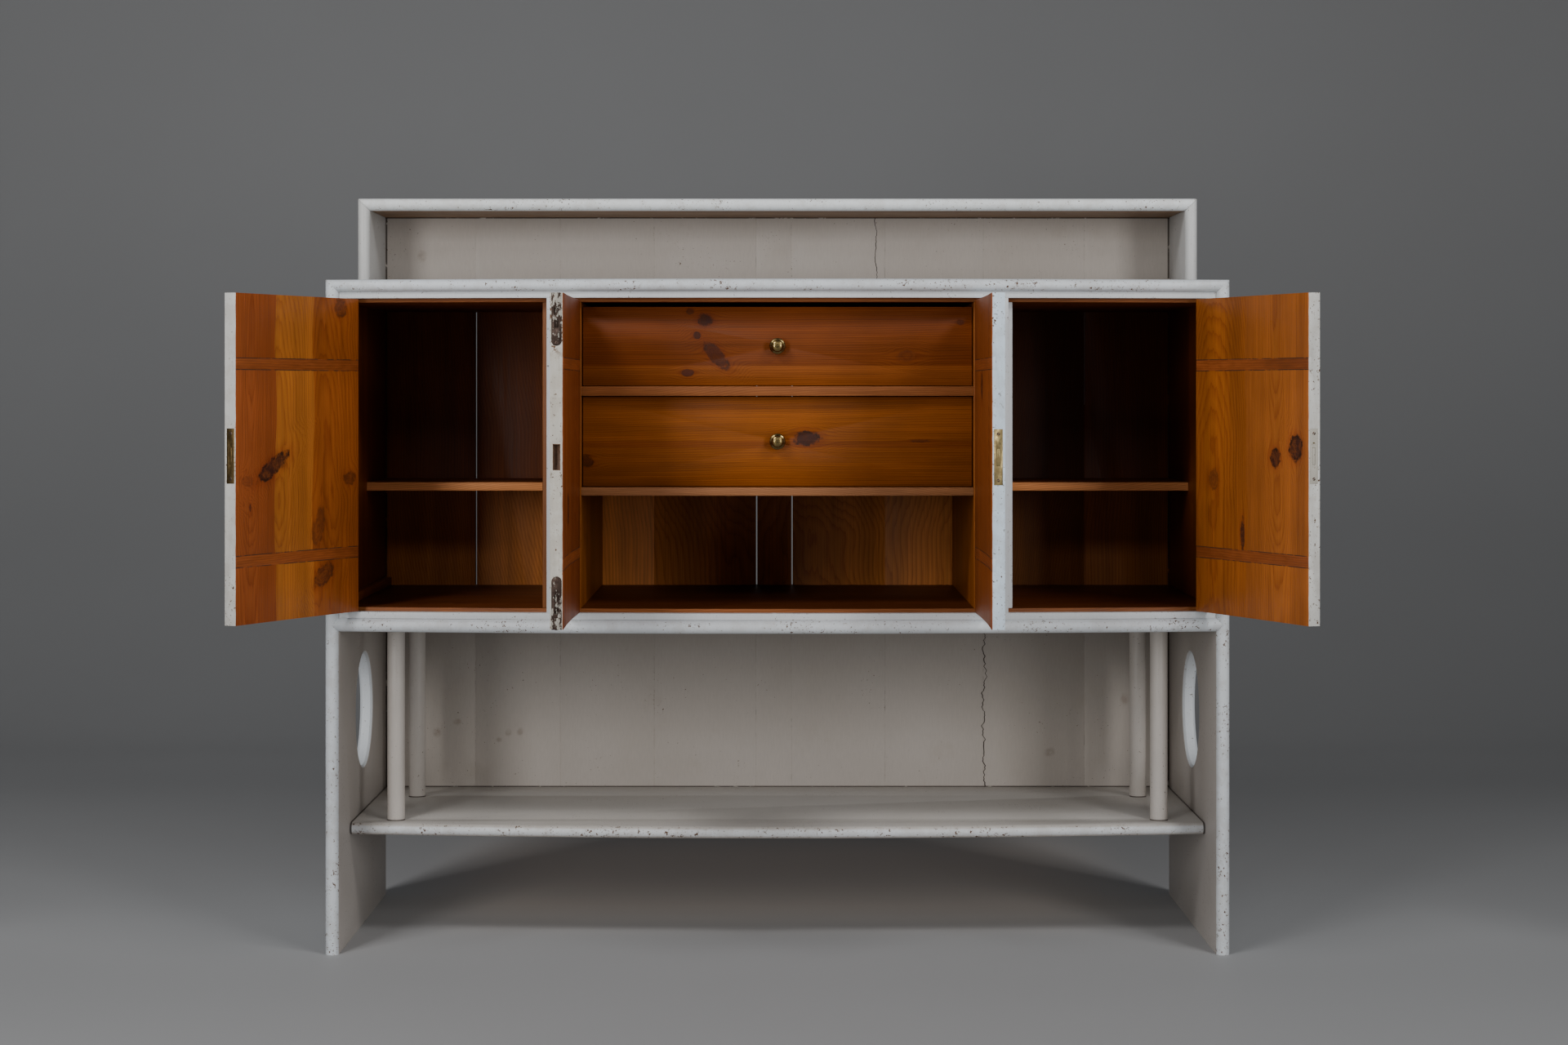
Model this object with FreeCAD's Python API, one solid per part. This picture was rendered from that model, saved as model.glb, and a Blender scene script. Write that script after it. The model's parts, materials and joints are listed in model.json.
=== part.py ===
"""Bow-fronted pine sideboard: an open gallery, a case with four curved doors and
two drawers, and an open bay with turned posts over a low shelf.

Lengths are in millimetres and angles in degrees. X runs to the right and Z up.
While the pieces are made, Y is the depth behind the front edges of the side
panels. The files are written with Y = 0 half-way between the tips of the open
centre doors and the back, on the floor. Doors stand open as in daily use.
"""
import FreeCAD, Part
import math
import os

Vector = FreeCAD.Vector
UP = Vector(0, 0, 1)

# Overall sizes
overall_width = 1400.0
body_depth = 545.0
door_opening_height = 485.0
gallery_rise = 149.0
cut_overrun = 5.0

# Side panels, each glued up from two boards
side_thick = 21.0
side_front_board_width = 254.0
side_hole_radius = 92.0
side_hole_back = 3.5
side_hole_rise = 6.5
side_hole_bevel = 4.0

# Boards of the case, from the bottom up
lower_shelf_top = 187.0
lower_shelf_thick = 19.0
lower_shelf_setback = 116.0
bottom_board_top = 521.0
bottom_board_thick = 21.0
floor_board_thick = 16.0
inner_top_thick = 16.0
top_board_thick = 19.0
housing_depth = 6.0
housing_stop = 14.0
nose_bands = 7

# Bowed front: how far the middle stands forward, and the step back to the doors
front_bow = 45.0
face_setback = 10.0
lip_height = 10.0
stile_width = 13.0
post_width = 32.0
post_inner_setback = 20.0

# Back boards in a rebate, with the gaps that shrinkage has opened
back_thick = 15.0
back_rebate_wall = 10.0
back_gap = 2.6
back_joint_shares = (-0.759, -0.546, -0.31, -0.054, 0.035, 0.27, 0.517, 0.771)
back_gap_shares = (1.0, 0.0, 0.0, 0.9, 0.9, 0.0, 0.0, 0.5)
back_gap_foot_shares = (0.0, 0.0, 0.0, 0.0, 0.0, 0.0, 0.0, 0.66)

# Gallery on top of the case
gallery_thick = 20.0
gallery_depth = 207.0
gallery_seat = 3.0

# Inside the case
partition_inner = 303.0
partition_thick = 22.0
door_stop_show = 8.0
door_stop_thick = 16.0
side_shelf_drop = 2.0
side_shelf_thick = 14.0
side_shelf_depth = 225.0
drawer_shelf_thick = 13.0
drawer_rail_thick = 15.0
drawer_rail_width = 54.0
runner_width = 14.0
rail_gap = 2.0
floor_batten_width = 10.0
floor_batten_height = 14.0
floor_batten_front = 40.0

# Turned posts between the lower shelf and the case
turned_radius = 14.0
turned_side_inset = 69.0
turned_front_inset = 45.0
turned_rear_inset = 115.0
turned_housing = 12.0

# Doors
door_thick = 19.0
door_bottom_gap = 1.25
outer_door_top_gap = 1.25
centre_door_top_gap = 3.5
hinge_gap = 1.2
closing_gap = 1.2
meeting_gap = 1.6
stop_gap = 0.4
outer_left_angle = 110.3
outer_right_angle = 107.0
centre_angle = 88.5

# Battens let into the inner faces of the doors, with dovetailed sides
batten_wide = 21.0
batten_narrow = 17.0
batten_depth = 6.0
batten_rise = 92.25
batten_drop = 102.75

# Lift-off hinges, with the pin fixed in the lower knuckle
hinge_inset = 98.7
hinge_length = 36.0
hinge_leaf_thick = 1.4
hinge_leaf_width = 15.0
hinge_leaf_parting = 0.4
hinge_barrel_radius = 3.0
hinge_pin_radius = 1.5
hinge_pin_gap = 0.05
hinge_running_gap = 0.3
small_round_sides = 10

# Mortise locks and the slots that their bolts enter
lock_rise = 4.5
lock_plate_height = 80.0
lock_plate_width = 12.6
lock_plate_thick = 2.0
lock_case_height = 60.0
lock_case_width = 9.0
lock_case_depth = 38.0
lock_bolt_height = 24.4
lock_bolt_width = 4.2
lock_bolt_length = 22.0
lock_bolt_gap = 0.3
strike_height = 36.0
strike_width = 9.4
strike_depth = 10.0
keyhole_backset = 29.0
keyhole_radius = 3.5
keyhole_slot_width = 4.4
keyhole_slot_length = 8.0

# Flush bolts in the free edge of the left centre door
flush_plate_height = 76.0
flush_plate_width = 14.8
flush_plate_depth = 9.0
flush_face_thick = 1.8
flush_rod_width = 5.0
flush_rod_depth = 4.2
flush_rod_length = 62.0
flush_rod_gap = 0.3
flush_thumb_height = 9.0
flush_thumb_place = 36.0
flush_slot_height = 28.0
flush_bottom_show = 0.8
keeper_radius = 4.0
keeper_depth = 8.0

# Drawers
drawer_front_depth = 10.0
drawer_front_thick = 20.0
drawer_side_gap = 1.5
drawer_front_lift = 1.0
drawer_run_gap = 0.3
drawer_upper_gap = 7.0
drawer_lower_gap = 1.0
drawer_rear_gap = 30.0
drawer_side_thick = 12.0
drawer_side_drop = 8.0
drawer_back_thick = 12.0
drawer_bottom_thick = 7.0
drawer_bottom_lift = 8.0
drawer_groove = 5.0
upper_drawer_height = 122.0
lower_drawer_height = 139.0
dovetail_length = 14.0
dovetail_root_share = 0.55
dovetail_count = 3
dovetail_pitch_shares = (0.1, 0.9)

# Knobs
knob_radius = 12.3
knob_length = 22.0
knob_neck_radius = 5.5
knob_foot_radius = 8.5
knob_foot_thick = 2.0
knob_neck_length = 4.0
knob_shank_radius = 2.5
knob_shank_length = 14.0
knob_sides = 16
knob_bands = 6

# Values worked out from the sizes above
half_width = overall_width / 2
inner_half = half_width - side_thick
nose_half_span = half_width - side_thick / 2
nose_radius = (nose_half_span**2 + front_bow**2) / (2 * front_bow)
bow_centre = nose_radius - front_bow
face_radius = nose_radius - face_setback
door_inner_radius = face_radius - door_thick
stop_radius = door_inner_radius - stop_gap
rail_radius = door_inner_radius - rail_gap
back_face = body_depth - back_thick
back_half_width = half_width - back_rebate_wall
bottom_board_bottom = bottom_board_top - bottom_board_thick
floor_top = bottom_board_top + floor_board_thick
opening_bottom = bottom_board_top + lip_height
opening_top = opening_bottom + door_opening_height
top_board_bottom = opening_top + lip_height
case_height = top_board_bottom + top_board_thick
overall_height = case_height + gallery_rise
ceiling = top_board_bottom - inner_top_thick
partition_outer = partition_inner + partition_thick
post_inner_edge = partition_inner + post_inner_setback
post_outer_edge = post_inner_edge + post_width
door_stop_edge = post_outer_edge + door_stop_show
side_hole_depth = body_depth / 2 + side_hole_back
side_hole_height = (lower_shelf_top + bottom_board_bottom) / 2 + side_hole_rise
gallery_front = body_depth - gallery_depth
drawer_rear_depth = back_face - drawer_rear_gap
upper_front_room = upper_drawer_height + drawer_front_lift + drawer_upper_gap
lower_front_room = lower_drawer_height + drawer_front_lift + drawer_lower_gap
drawer_rail_top = ceiling - upper_front_room
drawer_shelf_top = drawer_rail_top - drawer_rail_thick - lower_front_room
side_shelf_top = drawer_shelf_top - side_shelf_drop
side_shelf_front = back_face - side_shelf_depth
turned_spread = inner_half - turned_side_inset
turned_rear_depth = back_face - turned_rear_inset
lower_shelf_bottom = lower_shelf_top - lower_shelf_thick
gallery_top_bottom = overall_height - gallery_thick
outer_hinge_edge = inner_half - stile_width - hinge_gap
outer_free_edge = post_outer_edge + closing_gap
centre_hinge_edge = post_inner_edge - hinge_gap
centre_free_edge = meeting_gap / 2
door_bottom = opening_bottom + door_bottom_gap
outer_door_top = opening_top - outer_door_top_gap
centre_door_top = opening_top - centre_door_top_gap
hinge_heights = (door_bottom + hinge_inset, outer_door_top - hinge_inset)
batten_heights = (door_bottom + batten_rise, outer_door_top - batten_drop)
lock_height = (door_bottom + outer_door_top) / 2 + lock_rise
outer_pin_x = outer_hinge_edge + hinge_gap / 2
centre_pin_x = centre_hinge_edge + hinge_gap / 2


def depth_at(radius, x):
    """Depth of the bowed front of this radius, at a distance x from the middle."""
    return bow_centre - math.sqrt(radius**2 - x**2)


shelf_front_radius = nose_radius - lower_shelf_setback
turned_front_depth = depth_at(shelf_front_radius, turned_spread) + turned_front_inset
outer_pin_y = depth_at(face_radius, outer_pin_x)
centre_pin_y = depth_at(face_radius, centre_pin_x)
door_reach = centre_hinge_edge - centre_free_edge - centre_pin_y
origin_depth = (body_depth - door_reach) / 2


# Helpers for plain shapes
def box(x0, x1, y0, y1, z0, z1):
    return Part.makeBox(x1 - x0, y1 - y0, z1 - z0, Vector(x0, y0, z0))


def cylinder(radius, x, y, z0, z1):
    return Part.makeCylinder(radius, z1 - z0, Vector(x, y, z0), UP)


def line(start, end):
    return Part.LineSegment(start, end).toShape()


def closed_face(edges):
    return Part.Face(Part.Wire(Part.sortEdges(edges)[0]))


def polygon_face(points):
    return Part.Face(Part.makePolygon(points + [points[0]]))


def mirrored(shape):
    """The same piece on the other side of the middle plane."""
    return shape.mirror(Vector(0, 0, 0), Vector(1, 0, 0))


def arc_edge(radius, x0, x1):
    """An edge along the bowed front of this radius, from x0 to x1."""
    middle = (x0 + x1) / 2
    return Part.Arc(
        Vector(x0, depth_at(radius, x0), 0),
        Vector(middle, depth_at(radius, middle), 0),
        Vector(x1, depth_at(radius, x1), 0),
    ).toShape()


def curved_panel(x0, x1, outer, inner, z0, z1):
    """A bent panel between two radii of the bowed front, with ends square to X."""
    edges = [
        arc_edge(outer, x0, x1),
        line(Vector(x1, depth_at(outer, x1), 0), Vector(x1, depth_at(inner, x1), 0)),
        arc_edge(inner, x0, x1),
        line(Vector(x0, depth_at(outer, x0), 0), Vector(x0, depth_at(inner, x0), 0)),
    ]
    panel = closed_face(edges).extrude(Vector(0, 0, z1 - z0))
    panel.translate(Vector(0, 0, z0))
    return panel


def bowed_board(x0, x1, radius, rear, z0, z1):
    """A flat board with a square bowed front edge and a straight rear edge."""
    edges = [
        arc_edge(radius, x0, x1),
        line(Vector(x1, depth_at(radius, x1), 0), Vector(x1, rear, 0)),
        line(Vector(x1, rear, 0), Vector(x0, rear, 0)),
        line(Vector(x0, rear, 0), Vector(x0, depth_at(radius, x0), 0)),
    ]
    board = closed_face(edges).extrude(Vector(0, 0, z1 - z0))
    board.translate(Vector(0, 0, z0))
    return board


def nose_points(front, z0, z1):
    """(y, z) points around the rounded front edge of a board, from below."""
    round_off = (z1 - z0) / 2
    points = []
    for step in range(nose_bands + 1):
        turn = math.pi * step / nose_bands
        y = front + round_off - round_off * math.sin(turn)
        points.append((y, (z0 + z1) / 2 - round_off * math.cos(turn)))
    return points


def nosed_board(x0, x1, radius, rear, z0, z1):
    """A flat board whose bowed front edge is rounded to half a circle."""
    front = bow_centre - radius
    outline = nose_points(front, z0, z1) + [(rear + cut_overrun, z1), (rear + cut_overrun, z0)]
    section = polygon_face([Vector(0, y, z) for y, z in outline])
    reach = max(abs(x0), abs(x1)) + cut_overrun
    half_turn = math.degrees(math.asin(reach / (bow_centre - rear - cut_overrun)))
    pivot = Vector(0, bow_centre, 0)
    section.rotate(pivot, UP, -half_turn)
    ring = section.revolve(pivot, UP, 2 * half_turn)
    window = box(x0, x1, front - cut_overrun, rear, z0 - cut_overrun, z1 + cut_overrun)
    return ring.common(window)


def tongued(board, inner, start, rear, z0, z1):
    """The board with a tongue at each end that enters a stopped housing."""
    rooted = inner - housing_depth
    tongue = box(rooted, inner + housing_depth, start + housing_stop, rear, z0, z1)
    return board.fuse([tongue, mirrored(tongue)]).removeSplitter()


def upright(front, outer, inner, rebate, z0, z1):
    """An upright board with a rounded front edge and a rebate for the back."""
    round_off = (outer - inner) / 2
    middle = (outer + inner) / 2
    corners = [
        Vector(inner, front + round_off, 0),
        Vector(inner, back_face, 0),
        Vector(rebate, back_face, 0),
        Vector(rebate, body_depth, 0),
        Vector(outer, body_depth, 0),
        Vector(outer, front + round_off, 0),
    ]
    edges = [line(a, b) for a, b in zip(corners, corners[1:])]
    edges.append(Part.Arc(corners[-1], Vector(middle, front, 0), corners[0]).toShape())
    board = closed_face(edges).extrude(Vector(0, 0, z1 - z0))
    board.translate(Vector(0, 0, z0))
    return board


def along_depth(points, y0, y1):
    """A prism with an outline of (x, z) points, running from depth y0 to y1."""
    face = polygon_face([Vector(x, y0, z) for x, z in points])
    return face.extrude(Vector(0, y1 - y0, 0))


def across(points, x0, x1):
    """A prism with an outline of (y, z) points, running from x0 to x1."""
    face = polygon_face([Vector(x0, y, z) for y, z in points])
    return face.extrude(Vector(x1 - x0, 0, 0))


def save(name, shape):
    """Write one piece, or a group of like pieces, in the frame of the whole."""
    piece = shape.copy()
    piece.translate(Vector(0, -origin_depth, 0))
    piece.exportStep("parts/" + name + ".step")


# Carcass
def mitre_above(outer, inner, top, bottom):
    """The half of a mitred corner that belongs to the level board."""
    ends = (-cut_overrun, body_depth + cut_overrun)
    return along_depth([(outer, top), (inner, bottom), (inner, top)], *ends)


def mitre_below(outer, inner, top, bottom):
    """The half of a mitred corner that belongs to the upright board."""
    ends = (-front_bow - cut_overrun, body_depth + cut_overrun)
    return along_depth([(outer, top), (inner, bottom), (outer, bottom)], *ends)


def bird_mouth():
    """The pointed end of the bottom board that enters the edge of a side panel."""
    apex = (nose_half_span, (bottom_board_top + bottom_board_bottom) / 2)
    base = [(inner_half, bottom_board_bottom), apex, (inner_half, bottom_board_top)]
    return along_depth(base, -front_bow, side_thick / 2)


def lower_shelf():
    radius = shelf_front_radius
    levels = (lower_shelf_bottom, lower_shelf_top)
    shelf = nosed_board(-inner_half, inner_half, radius, back_face, *levels)
    shelf = tongued(shelf, inner_half, depth_at(radius, inner_half), back_face, *levels)
    return shelf.cut(turned_posts())


def bottom_board():
    reach = nose_half_span
    levels = (bottom_board_bottom, bottom_board_top)
    board = nosed_board(-reach, reach, nose_radius, back_face, *levels)
    middle = box(-inner_half, inner_half, -front_bow - cut_overrun, body_depth, *levels)
    mouth = bird_mouth()
    board = board.common(middle.fuse(mouth).fuse(mirrored(mouth)))
    board = tongued(board, inner_half, side_thick / 2, back_face, *levels)
    return board.cut(turned_posts())


def post_places():
    for side in (-1, 1):
        for depth in (turned_front_depth, turned_rear_depth):
            yield side * turned_spread, depth


def turned_posts():
    """Round posts that stand in sockets in the lower shelf and the case."""
    low = lower_shelf_top - turned_housing
    high = bottom_board_bottom + turned_housing
    return [cylinder(turned_radius, x, y, low, high) for x, y in post_places()]


def top_board():
    levels = (top_board_bottom, case_height)
    board = nosed_board(-half_width, half_width, nose_radius, body_depth, *levels)
    board = board.cut(back_space())
    corner = mitre_below(half_width, inner_half, case_height, top_board_bottom)
    board = board.cut(corner).cut(mirrored(corner))
    return board.cut(gallery_side()).cut(mirrored(gallery_side()))


def back_space():
    """The room behind the boards that the back boards fill."""
    rear = body_depth + cut_overrun
    reach = back_half_width
    return box(-reach, reach, back_face, rear, lower_shelf_bottom, gallery_top_bottom)


def side_shelf():
    inner = partition_outer - housing_depth
    outer = inner_half + housing_depth
    low = side_shelf_top - side_shelf_thick
    return box(inner, outer, side_shelf_front, back_face, low, side_shelf_top)


def side_panel():
    """The right side panel: two glued boards with a round hole through them."""
    panel = upright(0, half_width, inner_half, back_half_width, 0, case_height)
    reach = side_thick + 2 * cut_overrun
    start = Vector(inner_half - cut_overrun, side_hole_depth, side_hole_height)
    panel = panel.cut(Part.makeCylinder(side_hole_radius, reach, start, Vector(1, 0, 0)))
    rims = []
    for edge in panel.Edges:
        if isinstance(edge.Curve, Part.Circle):
            if abs(edge.Curve.Radius - side_hole_radius) < side_hole_bevel / 2:
                rims.append(edge)
    panel = panel.makeChamfer(side_hole_bevel, rims)
    panel = panel.cut(mitre_above(half_width, inner_half, case_height, top_board_bottom))
    panel = panel.cut(bottom_board()).cut(lower_shelf()).cut(side_shelf()).cut(gallery_side())
    front = box(0, half_width, -cut_overrun, side_front_board_width, 0, case_height)
    rear = box(0, half_width, side_front_board_width, body_depth, 0, case_height)
    return Part.makeCompound([panel.common(front), panel.common(rear)])


def gallery_side():
    """The right end of the gallery, housed in the top board."""
    inner = half_width - gallery_thick
    levels = (case_height - gallery_seat, overall_height)
    board = upright(gallery_front, half_width, inner, back_half_width, *levels)
    return board.cut(mitre_above(half_width, inner, overall_height, gallery_top_bottom))


def gallery_top():
    outline = nose_points(gallery_front, gallery_top_bottom, overall_height)
    outline = outline + [(body_depth, overall_height), (body_depth, gallery_top_bottom)]
    board = across(outline, -half_width, half_width)
    inner = half_width - gallery_thick
    corner = mitre_below(half_width, inner, overall_height, gallery_top_bottom)
    return board.cut(corner).cut(mirrored(corner))


def back_boards():
    """Upright boards side by side, some parted by a shrinkage gap behind the doors."""
    joints = [share * back_half_width for share in back_joint_shares]
    levels = (lower_shelf_bottom, gallery_top_bottom)
    boards = []
    for left, right in zip([-back_half_width] + joints, joints + [back_half_width]):
        boards.append(box(left, right, back_face, body_depth, *levels))
    for number, joint in enumerate(joints):
        reach = back_gap_shares[number] * back_gap
        if reach:
            foot = floor_top + back_gap_foot_shares[number] * (ceiling - floor_top)
            rear = body_depth + cut_overrun
            gap = box(joint, joint + reach, back_face - cut_overrun, rear, foot, ceiling)
            boards[number + 1] = boards[number + 1].cut(gap)
    return Part.makeCompound(boards)


# Face frame and door stops
def top_lip():
    lip = curved_panel(
        -inner_half, inner_half, face_radius, stop_radius, opening_top, top_board_bottom
    )
    return lip.cut(keeper_hole(opening_top, 1))


def bottom_lip():
    lip = curved_panel(
        -inner_half, inner_half, face_radius, stop_radius, bottom_board_top, opening_bottom
    )
    return lip.cut(keeper_hole(opening_bottom, -1))


def keeper_hole(level, direction):
    """The hole in a lip that a flush bolt of the left centre door enters."""
    x, y = flush_rod_place()
    ends = sorted((level - direction * cut_overrun, level + direction * keeper_depth))
    return cylinder(keeper_radius, -x, y, *ends)


def stile():
    """The right stile, with its hinge recesses."""
    inner = inner_half - stile_width
    levels = (opening_bottom, opening_top)
    piece = curved_panel(inner, inner_half, face_radius, stop_radius, *levels)
    return hinge_cuts(piece, outer_pin_x, outer_pin_y)


def face_post():
    """The right post between two doors: a slot for a lock bolt, hinge recesses."""
    levels = (opening_bottom, opening_top)
    post = curved_panel(post_inner_edge, post_outer_edge, face_radius, stop_radius, *levels)
    slot = box(
        post_outer_edge - strike_depth,
        post_outer_edge + cut_overrun,
        lock_middle(outer_free_edge) - strike_width / 2,
        lock_middle(outer_free_edge) + strike_width / 2,
        lock_height - strike_height / 2,
        lock_height + strike_height / 2,
    )
    return hinge_cuts(post.cut(slot), centre_pin_x, centre_pin_y)


def door_stop():
    inner_radius = stop_radius - door_stop_thick
    levels = (floor_top, ceiling)
    return curved_panel(partition_outer, door_stop_edge, stop_radius, inner_radius, *levels)


# Inside of the case
def drawer_shelf():
    levels = (drawer_shelf_top - drawer_shelf_thick, drawer_shelf_top)
    board = bowed_board(-partition_inner, partition_inner, rail_radius, back_face, *levels)
    front = depth_at(rail_radius, partition_inner)
    return tongued(board, partition_inner, front, back_face, *levels)


def drawer_rail():
    levels = (drawer_rail_top - drawer_rail_thick, drawer_rail_top)
    front = depth_at(rail_radius, partition_inner)
    rear = front + drawer_rail_width
    board = bowed_board(-partition_inner, partition_inner, rail_radius, rear, *levels)
    return tongued(board, partition_inner, front, rear, *levels)


def drawer_runner():
    front = depth_at(rail_radius, partition_inner) + drawer_rail_width
    low = drawer_rail_top - drawer_rail_thick
    inner = partition_inner - runner_width
    return box(inner, partition_inner, front, back_face, low, drawer_rail_top)


def partition():
    levels = (floor_top, ceiling)
    board = bowed_board(partition_inner, partition_outer, stop_radius, back_face, *levels)
    return board.cut(drawer_shelf()).cut(drawer_rail()).cut(side_shelf())


def floor_batten():
    inner = inner_half - floor_batten_width
    levels = (floor_top, floor_top + floor_batten_height)
    return mirrored(box(inner, inner_half, floor_batten_front, back_face, *levels))


# Hinges, made at the right-hand doors
def hinge_levels():
    for height in hinge_heights:
        yield height - hinge_length / 2, height + hinge_length / 2


def hinge_cuts(wood, pin_x, pin_y):
    """Room for the hinges: a recess for the leaf, a round one for the barrel."""
    centre = wood.BoundBox.Center.x
    for low, high in hinge_levels():
        side = 1 if centre > pin_x else -1
        wood = wood.cut(hinge_plate(pin_x, pin_y, side, low, high))
        round_off = hinge_barrel_radius + hinge_running_gap
        ends = (low - hinge_running_gap, high + hinge_running_gap)
        wood = wood.cut(cylinder(round_off, pin_x, pin_y, *ends))
    return wood


def hinge_plate(pin_x, pin_y, side, low, high):
    """The flat of a leaf: side is 1 on the outer side of the pin and -1 inside."""
    near = side * hinge_leaf_parting / 2
    far = near + side * hinge_leaf_thick
    left, right = sorted((pin_x + near, pin_x + far))
    return box(left, right, pin_y, pin_y + hinge_leaf_width, low, high)


def small_round(radius, x, y, z0, z1):
    """A small round bar or bore along Z, made with flat sides to stay light."""
    points = []
    for number in range(small_round_sides):
        turn = 2 * math.pi * number / small_round_sides
        points.append(Vector(x + radius * math.cos(turn), y + radius * math.sin(turn), z0))
    return polygon_face(points).extrude(Vector(0, 0, z1 - z0))


def hinge_leaf(pin_x, pin_y, side, low, high):
    """One leaf: the frame's has the lower knuckle and the pin, the door's the upper."""
    middle = (low + high) / 2
    part = hinge_running_gap / 2
    own, free = (low, middle - part), (middle - part, high)
    if side < 0:
        own, free = (middle + part, high), (low, middle + part)
    clear = hinge_barrel_radius + hinge_running_gap
    leaf = hinge_plate(pin_x, pin_y, side, low, high)
    leaf = leaf.cut(box(pin_x - clear, pin_x + clear, pin_y - clear, pin_y + clear, *free))
    leaf = leaf.fuse(small_round(hinge_barrel_radius, pin_x, pin_y, *own))
    tip = high - hinge_barrel_radius
    if side < 0:
        flat = (hinge_pin_radius + hinge_pin_gap) / math.cos(math.pi / small_round_sides)
        return leaf.cut(small_round(flat, pin_x, pin_y, middle, tip)).removeSplitter()
    pin = small_round(hinge_pin_radius, pin_x, pin_y, middle - part, tip - hinge_running_gap)
    return leaf.fuse(pin).removeSplitter()


def hinge_leaves(pin_x, pin_y, side):
    return [hinge_leaf(pin_x, pin_y, side, low, high) for low, high in hinge_levels()]


def hinge_frame_leaves():
    """The leaves on the stiles and posts, at all four doors."""
    right = hinge_leaves(outer_pin_x, outer_pin_y, 1)
    right = right + hinge_leaves(centre_pin_x, centre_pin_y, 1)
    return Part.makeCompound(right + [mirrored(leaf) for leaf in right])


# Locks, made at the right-hand doors with the bolt leaving towards the middle
def lock_middle(edge):
    """Depth of the middle of the door's thickness at its free edge."""
    return depth_at(face_radius, edge) + door_thick / 2


def lock_pocket(edge):
    """The plate and case of a lock as one plain block."""
    y = lock_middle(edge)
    plate = box(
        edge,
        edge + lock_plate_thick,
        y - lock_plate_width / 2,
        y + lock_plate_width / 2,
        lock_height - lock_plate_height / 2,
        lock_height + lock_plate_height / 2,
    )
    case = box(
        edge + lock_plate_thick,
        edge + lock_case_depth,
        y - lock_case_width / 2,
        y + lock_case_width / 2,
        lock_height - lock_case_height / 2,
        lock_height + lock_case_height / 2,
    )
    return plate.fuse(case)


def lock_block(edge, start, length, gap):
    """A block on the line of the bolt, wider than the bolt by the gap all round."""
    y = lock_middle(edge)
    return box(
        edge + start,
        edge + start + length,
        y - lock_bolt_width / 2 - gap,
        y + lock_bolt_width / 2 + gap,
        lock_height - lock_bolt_height / 2 - gap,
        lock_height + lock_bolt_height / 2 + gap,
    )


def keyhole(edge, rear):
    """A keyhole from the outer face of the door back to the depth given."""
    front = depth_at(face_radius, edge) - cut_overrun - door_thick
    x = edge + keyhole_backset
    bow = Part.makeCylinder(
        keyhole_radius, rear - front, Vector(x, front, lock_height), Vector(0, 1, 0)
    )
    half = keyhole_slot_width / 2
    slot = box(x - half, x + half, front, rear, lock_height - keyhole_slot_length, lock_height)
    return bow.fuse(slot)


def lock_case(edge):
    reach = cut_overrun + lock_bolt_length + 2 * lock_bolt_gap
    slot = lock_block(edge, -cut_overrun, reach, lock_bolt_gap)
    key_end = lock_middle(edge) + lock_case_width / 4
    return lock_pocket(edge).cut(slot).cut(keyhole(edge, key_end)).removeSplitter()


def lock_bolt(edge):
    return lock_block(edge, lock_bolt_gap, lock_bolt_length, 0)


# Doors, made closed on the right-hand side
def door_panel(free, hinge, pin_x, pin_y, top):
    panel = curved_panel(free, hinge, face_radius, door_inner_radius, door_bottom, top)
    return hinge_cuts(panel, pin_x, pin_y)


def batten_bar(height):
    """A bent dovetailed bar along the whole front, wide where it lies deepest."""
    deep = bow_centre - door_inner_radius - batten_depth
    past = bow_centre - door_inner_radius + cut_overrun
    wide = batten_wide / 2
    taper = (batten_wide - batten_narrow) / 2 / batten_depth
    narrow = wide - taper * (past - deep)
    points = [
        Vector(0, deep, height - wide),
        Vector(0, deep, height + wide),
        Vector(0, past, height + narrow),
        Vector(0, past, height - narrow),
    ]
    pivot = Vector(0, bow_centre, 0)
    half_turn = math.degrees(math.asin(half_width / door_inner_radius))
    section = polygon_face(points)
    section.rotate(pivot, UP, -half_turn)
    return section.revolve(pivot, UP, 2 * half_turn)


def outer_door():
    """The right outer door: panel, battens and lock pocket."""
    panel = door_panel(outer_free_edge, outer_hinge_edge, outer_pin_x, outer_pin_y, outer_door_top)
    pocket = lock_pocket(outer_free_edge)
    panel = panel.cut(pocket).cut(keyhole(outer_free_edge, lock_middle(outer_free_edge)))
    return split_battens(panel)


def centre_right_door():
    """The right centre door: panel, battens and lock pocket."""
    panel = plain_centre_panel()
    pocket = lock_pocket(centre_free_edge)
    panel = panel.cut(pocket).cut(keyhole(centre_free_edge, lock_middle(centre_free_edge)))
    return split_battens(panel)


def centre_left_door():
    """The left centre door, made on the right: strike slot and flush bolt pockets."""
    panel = plain_centre_panel()
    y = lock_middle(centre_free_edge)
    slot = box(
        centre_free_edge - cut_overrun,
        centre_free_edge + strike_depth,
        y - strike_width / 2,
        y + strike_width / 2,
        lock_height - strike_height / 2,
        lock_height + strike_height / 2,
    )
    panel = panel.cut(slot)
    for upper in (True, False):
        panel = panel.cut(flush_outline(upper))
    return split_battens(panel)


def plain_centre_panel():
    free, hinge = centre_free_edge, centre_hinge_edge
    return door_panel(free, hinge, centre_pin_x, centre_pin_y, centre_door_top)


def split_battens(panel):
    """The panel with its grooves, and the two battens that fill them."""
    battens = []
    for height in batten_heights:
        bar = batten_bar(height)
        battens.append(panel.common(bar))
        panel = panel.cut(bar)
    return panel, Part.makeCompound(battens)


# Flush bolts, made on the right and mirrored to the left centre door
def flush_levels(upper):
    if upper:
        return centre_door_top - flush_plate_height, centre_door_top
    return door_bottom, door_bottom + flush_plate_height


def flush_block(width, start, end, low, high):
    """A block let into the free edge of the centre door, on its middle line."""
    y = lock_middle(centre_free_edge)
    x = centre_free_edge
    return box(x + start, x + end, y - width / 2, y + width / 2, low, high)


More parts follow.
